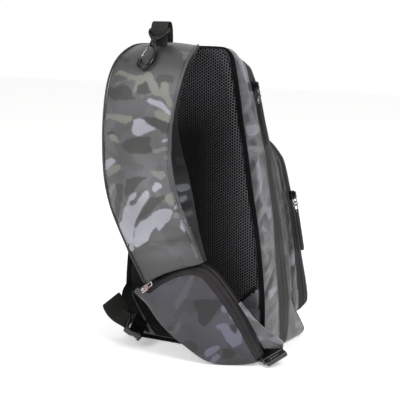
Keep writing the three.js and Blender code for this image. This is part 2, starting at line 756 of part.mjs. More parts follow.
function pouchStrip(insideA, outA, insideB, outB, thickness = CLOTH) {
  const sections = pouchLine(POUCH_STATIONS).map(({ at }) => {
    const [a, b] = [at(insideA, outA), at(insideB, outB)];
    const c = at(insideB + thickness, outB - thickness * 0.2);
    const d = at(insideA + thickness * 0.2, outA - thickness);
    return [a, b, c, d];
  });
  return loft(sections);
}

function pouchBack() {
  const floor = -POUCH_ZIP_DROP - POUCH_GUSSET - GAP;
  const sections = pouchLine(POUCH_STATIONS).map(({ at, edge, outward, depth }) => {
    const seam = at(-3, 0);
    const line = (thick) => range(4, 0, 1).map((s) => {
      const rise = Math.max(0, (s - 0.3) / 0.7) ** 1.6;
      const low = floor * depth * (1 - rise) - (CLOTH + 3 * GAP) * rise - thick;
      const point = seam.clone().lerp(edge, s).addScaledVector(outward, low);
      point.z = Math.max(point.z, 0);
      return point;
    });
    return [...line(0), ...line(POUCH_BACKING).reverse()];
  });
  return loft(sections);
}

function strapTip() {
  const out = -POUCH_ZIP_DROP - POUCH_GUSSET * 0.4;
  const sections = range(8, TIP[0].row, TIP.at(-1).row).map((row) => {
    const reach = TIP_REACH * sample(TIP, 'row', 'out', row);
    const droop = new THREE.Vector3(0, 0, (-TIP_DROOP * reach) / TIP_REACH);
    return [
      strapPoint(row, 1, out, 3.5),
      strapPoint(row, 1, out - 2, 3.5 + reach).add(droop),
      strapPoint(row, 1, out - 2 - POUCH_BACKING, 3.5 + reach).add(droop),
      strapPoint(row, 1, out - POUCH_BACKING, 3.5),
    ];
  });
  return loft(sections);
}

// Snap hook and its webbing loop, on the crest of the strap
const LOOP_ROW = 2;
const LOOP_SLOPE = 0.3;
const HOOK_LEAN = THREE.MathUtils.degToRad(-41);

function loopGroup() {
  const group = new THREE.Group();
  group.position.copy(strapPoint(LOOP_ROW, 0, STRAP_CROWN)).add(new THREE.Vector3(1.4, 0, 0));
  bag.add(group);
  return group;
}

function topLoop() {
  const legs = range(14, 0, 1).map((share) => {
    const angle = Math.PI * share;
    const y = (Math.sign(Math.cos(angle)) * Math.abs(Math.cos(angle)) ** 0.7 * LOOP_SPREAD) / 2;
    const foot = 2 * GAP + LOOP_SLOPE * y;
    return new THREE.Vector3(0, y, foot + Math.sin(angle) ** 0.55 * (LOOP_HEIGHT - foot));
  });
  return webbing(legs, WEBBING_WIDTH, legs.map(() => new THREE.Vector3(1, 0, 0)));
}

function curveThrough(points, count) {
  return new THREE.CatmullRomCurve3(points.map(([x, z]) => new THREE.Vector3(x, 0, z))).getPoints(count);
}

function hookEye() {
  const wide = (WEBBING_WIDTH + HOOK_EYE_WIRE) / 2 + 1;
  const low = -HOOK_EYE_HEIGHT;
  const shape = [
    [-wide, 0], [wide, 0], [wide, low * 0.45], [wide * 0.35, low], [-wide * 0.35, low], [-wide, low * 0.45],
  ];
  const path = shape.map(([x, z]) => new THREE.Vector3(x, 0, z));
  const sections = path.map((point, i) => {
    const before = path[(i + path.length - 1) % path.length];
    const after = path[(i + 1) % path.length];
    const onward = after.clone().sub(point).normalize();
    const inward = before.clone().sub(point).normalize().add(onward).normalize();
    const spread = 1 / Math.max(0.6, Math.abs(inward.clone().cross(onward).y));
    return range(5, 0, (2 * Math.PI * 5) / 6).map((angle) => point.clone()
      .addScaledVector(inward, (Math.cos(angle) * spread * HOOK_EYE_WIRE) / 2)
      .add(new THREE.Vector3(0, (Math.sin(angle) * HOOK_EYE_WIRE) / 2, 0)));
  });
  const collar = new THREE.CylinderGeometry(HOOK_SHANK, HOOK_SHANK * 0.8, 3, 10)
    .rotateX(Math.PI / 2).translate(0, 0, low - 1);
  return join(loft(sections, true), collar);
}

const HOOK_NECK = -HOOK_EYE_HEIGHT - 2.5 - GAP;

function hookBody() {
  const barrel = new THREE.CylinderGeometry(HOOK_BARREL / 2, HOOK_BARREL / 2, HOOK_BARREL, 12)
    .rotateX(Math.PI / 2).translate(0, 0, HOOK_NECK - HOOK_BARREL / 2);
  const side = (HOOK_WIDTH - HOOK_BAR) / 2;
  const path = curveThrough([
    [0, HOOK_NECK - HOOK_BARREL * 0.6],
    [side * 0.75, HOOK_NECK - HOOK_LENGTH * 0.3],
    [side, HOOK_NECK - HOOK_LENGTH * 0.55],
    [side * 0.75, HOOK_NECK - HOOK_LENGTH * 0.84],
    [0, HOOK_NECK - HOOK_LENGTH + HOOK_BAR / 2],
    [-side * 0.75, HOOK_NECK - HOOK_LENGTH * 0.86],
    [-side, HOOK_NECK - HOOK_LENGTH * 0.66],
  ], 18);
  return join(barrel, bar(path, HOOK_BAR, 8));
}

// The gate closes the mouth, hinged beside the barrel
function hookGate() {
  const side = (HOOK_WIDTH - HOOK_BAR) / 2;
  const start = new THREE.Vector3(-HOOK_BARREL / 2 - HOOK_GATE / 2 - GAP, 0, HOOK_NECK - HOOK_BARREL + 1);
  const end = new THREE.Vector3(-side + 0.5, 0, HOOK_NECK - HOOK_LENGTH * 0.66 + HOOK_BAR * 0.35 + 1);
  return bar([start, start.clone().lerp(end, 0.5), end], HOOK_GATE, 6);
}

const loopFrame = loopGroup();
const hookFrame = new THREE.Group();
hookFrame.position.y = -LOOP_SPREAD / 2 + WEBBING_THICKNESS / 2 + HOOK_EYE_WIRE / 2 + 1.5;
hookFrame.position.z = LOOP_HEIGHT - WEBBING_THICKNESS - HOOK_EYE_WIRE - 2;
hookFrame.rotation.x = HOOK_LEAN;
loopFrame.add(hookFrame);

// Slider, rings and strip of one zip, hanging down from a point on the tape
function zipPull(prefix, at, out, down, links) {
  const group = new THREE.Group();
  const side = down.clone().cross(out).normalize();
  group.position.copy(at);
  group.quaternion.setFromRotationMatrix(new THREE.Matrix4().makeBasis(out, side, down.clone().negate()));
  bag.add(group);
  const seat = SLIDER_HEIGHT / 2 + 3 * GAP;
  const axis = SLIDER_HEIGHT + 3 * GAP + RING_WIRE / 2 + 0.5;
  const eye = -SLIDER_LENGTH / 2 + RING_WIRE;
  const plate = new THREE.BoxGeometry(SLIDER_HEIGHT, SLIDER_WIDTH, SLIDER_LENGTH).translate(seat, 0, 0);
  const bridge = new THREE.BoxGeometry(RING_WIRE * 2.6, SLIDER_WIDTH * 0.5, SLIDER_LENGTH * 0.8)
    .translate(axis, 0, 0);
  const hole = new THREE.BoxGeometry(RING_WIRE + 2 * GAP, SLIDER_WIDTH, RING_WIRE + 2 * GAP)
    .translate(axis, 0, eye + 0.6);
  add(`${prefix}_slider`, cut(join(plate, bridge), hole), BLACK_METAL, group);
  let wireTop = eye + 0.6;
  links.forEach(({ name, diameter, turned }) => {
    const radius = (diameter - RING_WIRE) / 2;
    const ring = new THREE.TorusGeometry(radius, RING_WIRE / 2, 5, 12);
    if (!turned) {
      ring.rotateY(Math.PI / 2);
    } else {
      ring.rotateX(Math.PI / 2);
    }
    const mesh = add(`${prefix}_${name}`, ring, BLACK_METAL, group);
    mesh.position.set(axis, 0, wireTop - radius);
    wireTop = wireTop - 2 * radius + RING_WIRE + GAP;
  });
  const wire = wireTop - RING_WIRE - GAP;
  const head = new THREE.BoxGeometry(RING_WIRE + 3, 3, RING_WIRE + 3.4).translate(axis, 0, wire);
  const strip = new THREE.BoxGeometry(PULLER_THICKNESS, PULLER_WIDTH, PULLER_LENGTH)
    .translate(axis, 0, wire - PULLER_LENGTH / 2 - RING_WIRE);
  const eyeHole = new THREE.CylinderGeometry(RING_WIRE * 0.9, RING_WIRE * 0.9, PULLER_WIDTH, 8)
    .translate(axis, 0, wire);
  add(`${prefix}_puller`, cut(join(head, strip), eyeHole), { color: 0x252629, roughness: 0.6 }, group);
}

function mainPull() {
  const z = BODY_HEIGHT * 0.885;
  const low = z - BODY_HEIGHT * topDrop(z / BODY_HEIGHT, TOP_DROP.front);
  const y = (seamY(z, 'zip') + seamY(z, 'front')) / 2;
  const lower = z - PULLER_LENGTH - 2 * RING_DIAMETER;
  const down = new THREE.Vector3(halfWidth(lower) - halfWidth(z) + 2, 0, lower - low).normalize();
  const out = new THREE.Vector3(-down.z, 0, down.x);
  const links = [
    { name: 'pull_ring', diameter: RING_DIAMETER, turned: false },
    { name: 'pull_link', diameter: RING_DIAMETER * 0.66, turned: true },
    { name: 'lower_ring', diameter: RING_DIAMETER, turned: false },
  ];
  zipPull('main', new THREE.Vector3(halfWidth(z), y, low), out, down, links);
}

function pocketPull() {
  const z = POCKET_BOTTOM + (POCKET_TOP - POCKET_BOTTOM) * 0.66;
  const turn = THREE.MathUtils.degToRad(30);
  const at = new THREE.Vector3(pocketHalfWidth(z) + 1, pocketFrontY(z) - 4, z);
  const lower = z - PULLER_LENGTH - 2 * RING_DIAMETER;
  const narrower = pocketHalfWidth(lower) - pocketHalfWidth(z);
  const down = new THREE.Vector3(narrower, pocketFrontY(lower) - pocketFrontY(z), lower - z);
  down.normalize();
  const out = new THREE.Vector3(Math.cos(turn), Math.sin(turn), 0).projectOnPlane(down).normalize();
  const links = [
    { name: 'pull_link', diameter: RING_DIAMETER * 0.8, turned: false },
    { name: 'pull_loop', diameter: RING_DIAMETER * 0.66, turned: true },
    { name: 'pull_ring', diameter: RING_DIAMETER, turned: false },
  ];
  zipPull('pocket', at, out, down, links);
}

// The pouch's slider near the left corner, its metal tab lying along the tape
function pouchPull() {
  const line = pouchLine(POUCH_STATIONS);
  const [here, next] = [line[2], line[4]];
  const middle = POUCH_ZIP_WIDTH / 4;
  const at = here.at(middle, POUCH_RISE / 2 + 1);
  const ahead = next.at(middle, POUCH_RISE / 2 + 1).sub(at).normalize();
  const out = here.outward.clone().addScaledVector(here.at(0, 0).sub(here.at(1, 0)).normalize(), 0.5)
    .projectOnPlane(ahead).normalize();
  const group = new THREE.Group();
  group.position.copy(at).addScaledVector(out, 3.4);
  group.quaternion.setFromRotationMatrix(new THREE.Matrix4().makeBasis(ahead, out.clone().cross(ahead), out));
  bag.add(group);
  const plate = new THREE.BoxGeometry(SLIDER_LENGTH * 0.8, SLIDER_WIDTH * 0.8, SLIDER_HEIGHT * 0.7)
    .translate(0, 0, SLIDER_HEIGHT * 0.35);
  const post = new THREE.BoxGeometry(RING_WIRE * 2, SLIDER_WIDTH * 0.35, RING_WIRE * 2.6)
    .translate(0, 0, SLIDER_HEIGHT * 0.7 + RING_WIRE * 1.2);
  const pin = SLIDER_HEIGHT * 0.7 + RING_WIRE * 1.35;
  const hole = new THREE.BoxGeometry(RING_WIRE, SLIDER_WIDTH, RING_WIRE).translate(0, 0, pin);
  add('pouch_slider', cut(join(plate, post), hole), STEEL, group);
  const wide = SLIDER_WIDTH * 0.75;
  const tab = new THREE.BoxGeometry(TAB_LENGTH, wide, 1.1).translate(TAB_LENGTH / 2 - 0.6, 0, 0);
  const mouth = new THREE.BoxGeometry(RING_WIRE * 3, SLIDER_WIDTH * 0.35 + 2 * GAP, 3)
    .translate(RING_WIRE * 1.5 + 0.45, 0, 0);
  const slot = new THREE.BoxGeometry(TAB_LENGTH * 0.4, wide * 0.45, 3).translate(TAB_LENGTH * 0.68, 0, 0);
  const mesh = add('pouch_pull_tab', cut(tab, mouth, slot), STEEL, group);
  mesh.position.z = pin;
}

// A side buckle along X: its receiver and its tongue, each with a webbing slot
const BUCKLE_MARGIN = 9;
const SLOT = 4;

function roundedPlate(length, width, thickness, radius) {
  const [x, y] = [length / 2, width / 2];
  const shape = new THREE.Shape();
  shape.moveTo(-x + radius, -y);
  shape.lineTo(x - radius, -y);
  shape.quadraticCurveTo(x, -y, x, -y + radius);
  shape.lineTo(x, y - radius);
  shape.quadraticCurveTo(x, y, x - radius, y);
  shape.lineTo(-x + radius, y);
  shape.quadraticCurveTo(-x, y, -x, y - radius);
  shape.lineTo(-x, -y + radius);
  shape.quadraticCurveTo(-x, -y, -x + radius, -y);
  const bevel = { bevelSize: 1, bevelThickness: 1, bevelOffset: -1, bevelSegments: 1 };
  const options = { depth: thickness - 2, curveSegments: 3, ...bevel };
  return new THREE.ExtrudeGeometry(shape, options).translate(0, 0, 1 - thickness / 2);
}

function buckleReceiver(strap) {
  const width = strap + BUCKLE_MARGIN;
  const body = roundedPlate(BUCKLE_LENGTH * 0.7, width, BUCKLE_THICKNESS, 4);
  const slot = new THREE.BoxGeometry(SLOT, strap + 1, BUCKLE_THICKNESS * 2)
    .translate(-BUCKLE_LENGTH * 0.24, 0, 0);
  const waist = width * 0.2;
  const round = () => new THREE.CylinderGeometry(waist, waist, BUCKLE_THICKNESS * 2, 12).rotateX(Math.PI / 2);
  const notch = (side) => round()
    .translate(BUCKLE_LENGTH * 0.12, side * (width / 2 + waist * 0.55), 0);
  return cut(body, slot, notch(1), notch(-1));
}

function buckleTongue(strap) {
  const length = BUCKLE_LENGTH * 0.3;
  const body = roundedPlate(length, (strap + BUCKLE_MARGIN) * 0.94, BUCKLE_THICKNESS * 0.7, 3);
  const slot = new THREE.BoxGeometry(SLOT, strap + 1, BUCKLE_THICKNESS * 2).translate(length * 0.05, 0, 0);
  return cut(body, slot);
}

function buckleGroup(at, along, across) {
  const group = new THREE.Group();
  const x = along.clone().normalize();
  const y = across.clone().projectOnPlane(x).normalize();
  group.position.copy(at);
  group.quaternion.setFromRotationMatrix(new THREE.Matrix4().makeBasis(x, y, x.clone().cross(y)));
  bag.add(group);
  return group;
}

// A place beside a lower corner of the back: out past the body, toward the wearer, and up
function corner(side, out, front, up) {
  return new THREE.Vector3(side * (HALF + out), BACK_Y - front, up);
}

// A triangular wing sewn along the pad's cut corner and the binding, narrowing to a webbing; its root runs
// from low over a knee to high, each as millimetres in from the side and up
function wing(side, roots, tip, tipHalf) {
  const root = BINDING_THICKNESS + GAP;
  const sections = roots.map(([inset, up], i) => {
    const from = corner(side, -inset, root, up);
    const end = tip.clone().add(new THREE.Vector3(0, 0, tipHalf * (i - 1)));
    const line = range(4, 0, 1).map((share) => {
      return from.clone().lerp(end, share).add(new THREE.Vector3(0, -3 * Math.sin(Math.PI * share), 0));
    });
    const thick = new THREE.Vector3(0, -CLOTH, 0);
    return [...line, ...line.map((p) => p.clone().add(thick)).reverse()];
  });
  return loft(sections);
}

// Left corner: wing, folded webbing and a buckle half lying by the body
const LEFT_TIP = corner(-1, 5, 12, 46);

// The left webbing from the wing round its fold to the buckle: its middle as millimetres out, toward the
// wearer and up from the corner, and the direction of its width
const LEFT_FOLD = [
  { out: 3, front: 16.8, up: 50, x: 0.6, y: -0.3, z: -0.75 },
  { out: 9, front: 20, up: 42.5, x: 0.72, y: -0.15, z: -0.68 },
  { out: 14, front: 23.5, up: 36, x: 0.82, y: 0, z: -0.6 },
  { out: 15.5, front: 28, up: 34, x: 0.83, y: 0, z: -0.58 },
  { out: 11, front: 32, up: 34.5, x: 0.8, y: -0.2, z: -0.56 },
  { out: 0, front: 37, up: 36.5, x: 0.7, y: -0.5, z: -0.5 },
  { out: -10, front: 41.5, up: 38.5, x: 0.5, y: -0.75, z: -0.4 },
  { out: -17, front: 44.5, up: 38.5, x: 0.38, y: -0.87, z: -0.3 },
  { out: -22.9, front: 42.1, up: 35.5, x: 0.36, y: -0.895, z: -0.264 },
];

function leftWebbing() {
  const steps = LEFT_FOLD.length - 1;
  const rows = LEFT_FOLD.map((row, step) => ({ step, ...row }));
  const column = (name, at) => sample(rows, 'step', name, at);
  const places = range(16, 0, steps);
  const path = places.map((at) => corner(-1, column('out', at), column('front', at), column('up', at)));
  const wide = places.map((at) => new THREE.Vector3(column('x', at), column('y', at), column('z', at)));
  return webbing(path, WAIST_WEBBING_WIDTH, wide);
}

function leftCorner() {
  const roots = [[38, 9], [1.5, 62], [1.5, 84]];
  add('left_wing', wing(-1, roots, LEFT_TIP, WAIST_WEBBING_WIDTH * 0.5), DARK_FABRIC);
  add('left_webbing', leftWebbing(), WEBBING);
  const along = new THREE.Vector3(0.664, 0.444, -0.602);
  const group = buckleGroup(corner(-1, -33.2, 35.1, 26.1), along, new THREE.Vector3(0.359, -0.895, -0.264));
  add('left_buckle', buckleReceiver(WAIST_WEBBING_WIDTH), PLASTIC, group);
}

// Right corner: a short wing, and the fastened buckle that holds the strap's tip
const RIGHT_TIP = corner(1, 3.8, 9, 20);

function rightCorner() {
  add('right_wing', wing(1, [[5, 8], [5, 26], [5, 44]], RIGHT_TIP, WEBBING_WIDTH * 0.42), DARK_FABRIC);
  const along = new THREE.Vector3(0.77, -0.64, 0);
  const group = buckleGroup(corner(1, 25, 17.5, 12), along, new THREE.Vector3(0.57, 0.7, 0.43));
  const receiver = add('right_buckle_receiver', buckleReceiver(WEBBING_WIDTH), PLASTIC, group);
  const tongue = add('right_buckle_tongue', buckleTongue(WEBBING_WIDTH), PLASTIC, group);
  receiver.position.x = -BUCKLE_LENGTH * 0.15;
  tongue.position.x = BUCKLE_LENGTH * 0.35 + GAP;
}

add('back_wall', backWall(), FABRIC);
add('back_pad', backPad(), MESH_FABRIC);
add('back_binding', backBinding(), MESH_FABRIC);
add('rear_gusset', rearGusset(), FABRIC);
add('main_zipper', mainZip(), ZIP_TAPE);
add('base_panel', basePanel(), FABRIC);
add('front_gusset', frontGusset(), FABRIC);
add('front_wall', frontWall(), FABRIC);
add('pocket_gusset', pocketGusset(), FABRIC);
add('pocket_zipper', pocketZip(), ZIP_TAPE);
add('pocket_face', pocketFace(), FABRIC);
add('strap_band', strapBand(), FABRIC);
add('strap_piping_right', strapPiping(1), FABRIC);
add('strap_piping_left', strapPiping(-1), FABRIC);
add('pouch_front', pouchFront(), DARK_FABRIC);
add('pouch_zipper', pouchStrip(POUCH_ZIP_WIDTH / 2 + 3, POUCH_RISE, -1.5, -POUCH_ZIP_DROP + GAP), ZIP_TAPE);
const pouchBelow = -POUCH_ZIP_DROP - POUCH_GUSSET + 1;
add('pouch_gusset', pouchStrip(-1.5, -POUCH_ZIP_DROP - 2 * GAP, -3, pouchBelow), FABRIC);
add('pouch_back', pouchBack(), MESH_FABRIC);
add('strap_tip', strapTip(), FABRIC);
add('top_loop', topLoop(), WEBBING, loopFrame);
add('hook_eye', hookEye(), BLACK_METAL, hookFrame);
add('hook_body', hookBody(), BLACK_METAL, hookFrame);
add('hook_gate', hookGate(), STEEL, hookFrame);
mainPull();
pocketPull();
pouchPull();
leftCorner();
rightCorner();

export default bag;
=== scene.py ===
"""Dresses the fishing tackle sling bag: camouflage cloth, air mesh, zips, webbing, hook and buckles."""

import logging
import math
from dataclasses import dataclass
from enum import Enum
from typing import Optional, Sequence

import bmesh
import bpy
import numpy as np
from mathutils import Matrix, Vector, noise
from mathutils.bvhtree import BVHTree


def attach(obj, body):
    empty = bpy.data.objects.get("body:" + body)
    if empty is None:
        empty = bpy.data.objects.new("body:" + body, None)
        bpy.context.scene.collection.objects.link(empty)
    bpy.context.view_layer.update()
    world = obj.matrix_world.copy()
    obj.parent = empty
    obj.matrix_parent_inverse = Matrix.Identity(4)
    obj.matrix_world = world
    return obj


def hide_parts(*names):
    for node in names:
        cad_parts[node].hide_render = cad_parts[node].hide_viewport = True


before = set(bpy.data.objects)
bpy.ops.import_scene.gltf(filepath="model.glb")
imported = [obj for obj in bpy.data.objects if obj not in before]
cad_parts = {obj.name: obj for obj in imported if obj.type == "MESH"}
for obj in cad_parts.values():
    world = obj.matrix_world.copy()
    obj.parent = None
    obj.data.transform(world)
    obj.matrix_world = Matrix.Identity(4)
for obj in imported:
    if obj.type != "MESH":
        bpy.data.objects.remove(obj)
LOG = logging.getLogger("sling_bag")
MM = 0.001
BODY_HEIGHT = 0.425
BODY_HALF = 0.1095
BACK_Y = -0.066
BELT_CENTRE = (0.0, 0.17)


class Tone(Enum):
    """The tones of the printed camouflage, each in one channel of a piece's chart."""

    DARK = 0
    LIGHT = 1
    PALE = 2


class Shape(Enum):
    """How a refined copy of a solid treats its edges."""

    SOFT = 0.55
    FIRM = 0.85
    ROUND = 0.0


def rgb(red: float, green: float, blue: float) -> tuple[float, float, float, float]:
    """Turns a display colour from 0 to 255 into a linear colour.

    Args:
        red: Red as shown on a screen.
        green: Green as shown on a screen.
        blue: Blue as shown on a screen.

    Returns:
        The linear colour with alpha.
    """
    parts = [value / 255 for value in (red, green, blue)]
    linear = [p / 12.92 if p <= 0.04045 else ((p + 0.055) / 1.055) ** 2.4 for p in parts]
    return (linear[0], linear[1], linear[2], 1.0)


class Graph:
    """Short ways to lay out one node tree."""

    def __init__(self, tree: bpy.types.NodeTree) -> None:
        """Keeps the tree and empties it."""
        self.tree = tree
        tree.nodes.clear()

    def node(self, kind: str, inputs: Optional[dict] = None, **settings) -> bpy.types.Node:
        """Adds a node.

        Args:
            kind: The node's type name after "ShaderNode", or a full name.
            inputs: Socket values or source sockets, by socket name or index.
            **settings: The node's own settings.

        Returns:
            The new node.
        """
        name = kind if kind.startswith(("Node", "Geometry", "Function")) else "ShaderNode" + kind
        made = self.tree.nodes.new(name)
        for key, value in settings.items():
            setattr(made, key, value)
        for key, value in (inputs or {}).items():
            socket = made.inputs[key]
            if isinstance(value, bpy.types.NodeSocket):
                self.tree.links.new(value, socket)
            else:
                socket.default_value = value
        return made

    def math(self, operation: str, first, second=0.0, clamp: bool = False) -> bpy.types.NodeSocket:
        """Adds a Math node and returns its output."""
        made = self.node("Math", {0: first, 1: second}, operation=operation, use_clamp=clamp)
        return made.outputs[0]

    def step(self, value, low: float, high: float) -> bpy.types.NodeSocket:
        """Adds a smooth step from 0 at low to 1 at high and returns its output."""
        made = self.node(
            "MapRange", {0: value, 1: low, 2: high, 3: 0.0, 4: 1.0}, interpolation_type="SMOOTHSTEP"
        )
        return made.outputs[0]

    def mix(self, factor, first, second) -> bpy.types.NodeSocket:
        """Adds a colour mix and returns its output."""
        made = self.node("Mix", None, data_type="RGBA")
        for index, value in ((0, factor), (6, first), (7, second)):
            if isinstance(value, bpy.types.NodeSocket):
                self.tree.links.new(value, made.inputs[index])
            else:
                made.inputs[index].default_value = value
        return made.outputs[2]


def shader_group(
    name: str, inputs: dict, outputs: dict
) -> tuple[bpy.types.NodeTree, Graph, dict, bpy.types.Node]:
    """Starts a shared shader group.

    Args:
        name: The group's name.
        inputs: Socket type by input name.
        outputs: Socket type by output name.

    Returns:
        The tree, its graph, the input sockets by name, and the output node.
    """
    tree = bpy.data.node_groups.new(name, "ShaderNodeTree")
    for key, kind in inputs.items():
        tree.interface.new_socket(name=key, in_out="INPUT", socket_type="NodeSocket" + kind)
    for key, kind in outputs.items():
        tree.interface.new_socket(name=key, in_out="OUTPUT", socket_type="NodeSocket" + kind)
    graph = Graph(tree)
    start = graph.node("NodeGroupInput")
    end = graph.node("NodeGroupOutput")
    return tree, graph, {key: start.outputs[key] for key in inputs}, end


class Weaves:
    """The shared shader groups, each made once."""

    def __init__(self) -> None:
        """Makes all the groups."""
        self.weave = self._weave()
        self.camouflage = self._camouflage()
        self.air_mesh = self._air_mesh()
        self.wear = self._wear()

    @staticmethod
    def _weave() -> bpy.types.NodeTree:
        """Returns a plain weave of threads up and across, by a pitch in millimetres."""
        tree, graph, given, end = shader_group(
            "plain_weave", {"Vector": "Vector", "Pitch": "Float"}, {"Height": "Float", "Shade": "Float"}
        )
        parts = graph.node("SeparateXYZ", {0: given["Vector"]})
        turns = graph.math("DIVIDE", 6283.19, given["Pitch"])
        across = graph.math("ADD", parts.outputs[0], parts.outputs[1])
        warp = graph.math("SINE", graph.math("MULTIPLY", across, turns))
        weft = graph.math("SINE", graph.math("MULTIPLY", parts.outputs[2], turns))
        both = graph.math("MULTIPLY", graph.math("ADD", warp, weft), 0.25)
        height = graph.math("ADD", both, 0.5)
        slub = graph.node("TexNoise", {"Vector": given["Vector"], "Scale": 420.0, "Detail": 2.0})
        uneven = graph.math("MULTIPLY", slub.outputs[0], 0.5)
        total = graph.math("ADD", height, uneven)
        # Painted shade: the colour is darker where the weave dips, and uneven by slubs.
        shade = graph.math("ADD", graph.math("MULTIPLY", total, 0.22), 0.84)
        graph.tree.links.new(total, end.inputs["Height"])
        graph.tree.links.new(shade, end.inputs["Shade"])
        return tree

    @staticmethod
    def _camouflage() -> bpy.types.NodeTree:
        """Returns the printed camouflage: a ground with three tones where the chart's channels say, mixed
        toward the pale tone and scaled by a second attribute that carries tint, painted sheen and painted
        shade.
        """
        tree, graph, given, end = shader_group(
            "printed_camouflage",
            {
                "Vector": "Vector", "Chart": "Color", "Tint_sheen_and_shade": "Color", "Ground": "Color",
                "Dark": "Color", "Light": "Color", "Pale": "Color",
            },
            {"Color": "Color"},
        )
        chart = graph.node("SeparateColor", {0: given["Chart"]})
        tint_sheen_and_shade = graph.node("SeparateColor", {0: given["Tint_sheen_and_shade"]})
        ragged = graph.node(
            "TexNoise", {"Vector": given["Vector"], "Scale": 60.0, "Detail": 3.0, "Roughness": 0.6}
        )
        shift = graph.math("MULTIPLY", graph.math("SUBTRACT", ragged.outputs[0], 0.5), 0.42)
        cloudy = graph.node(
            "TexNoise", {"Vector": given["Vector"], "Scale": 24.0, "Detail": 2.0, "Distortion": 0.6}
        )
        # The second attribute's first channel mixes the ground toward the pale tone: random tint on some
        # pieces, painted sheen and painted highlights on others.
        ground = graph.mix(graph.math("MULTIPLY", tint_sheen_and_shade.outputs[0], 0.75), given["Ground"], given["Pale"])
        tinge = graph.math("MULTIPLY", graph.step(cloudy.outputs[0], 0.5, 0.53), 0.3)
        ground = graph.mix(tinge, ground, given["Dark"])
        for channel, tone, strength in ((0, "Dark", 0.85), (1, "Light", 0.72), (2, "Pale", 0.74)):
            edge = graph.step(graph.math("ADD", chart.outputs[channel], shift), 0.41, 0.62)
            ground = graph.mix(graph.math("MULTIPLY", edge, strength), ground, given[tone])
        # Its second channel scales the colour: painted shade where it is below 1, painted light where it is
        # above.
        dim = graph.node("VectorMath", {0: ground, "Scale": tint_sheen_and_shade.outputs[1]}, operation="SCALE")
        graph.tree.links.new(dim.outputs[0], end.inputs["Color"])
        return tree

    @staticmethod
    def _air_mesh() -> bpy.types.NodeTree:
        """Returns a hexagonal air mesh: its height and where its holes are."""
        tree, graph, given, end = shader_group(
            "air_mesh", {"Vector": "Vector", "Pitch": "Float"},
            {"Height": "Float", "Hole": "Float", "Glint": "Float"},
        )
        turns = graph.math("DIVIDE", 6283.19, given["Pitch"])
        waves = []
        for side, up in ((1.0, 0.0), (-0.5, 0.866), (-0.5, -0.866)):
            along = graph.node(
                "VectorMath", {0: given["Vector"], 1: (side, side * 0.3, up)}, operation="DOT_PRODUCT"
            )
            waves.append(graph.math("COSINE", graph.math("MULTIPLY", along.outputs["Value"], turns)))
        total = graph.math("ADD", graph.math("ADD", waves[0], waves[1]), waves[2])
        hole = graph.step(total, -0.75, 0.35)
        knot = graph.step(total, -0.95, -1.48)
        uneven = graph.node("TexNoise", {"Vector": given["Vector"], "Scale": 90.0, "Detail": 1.0})
        patchy = graph.math("ADD", graph.math("MULTIPLY", uneven.outputs[0], 0.6), 0.7)
        graph.tree.links.new(graph.math("SUBTRACT", 1.0, hole), end.inputs["Height"])
        graph.tree.links.new(hole, end.inputs["Hole"])
        graph.tree.links.new(graph.math("MULTIPLY", knot, patchy, clamp=True), end.inputs["Glint"])
        return tree

    @staticmethod
    def _wear() -> bpy.types.NodeTree:
        """Returns slow and fine unevenness for roughness and colour."""
        tree, graph, given, end = shader_group(
            "wear", {"Vector": "Vector", "Scale": "Float"}, {"Slow": "Float", "Fine": "Float"}
        )
        slow = graph.node("TexNoise", {"Vector": given["Vector"], "Scale": given["Scale"], "Detail": 4.0})
        fine = graph.node("TexNoise", {"Vector": given["Vector"], "Scale": 900.0, "Detail": 2.0})
        graph.tree.links.new(slow.outputs[0], end.inputs["Slow"])
        graph.tree.links.new(fine.outputs[0], end.inputs["Fine"])
        return tree


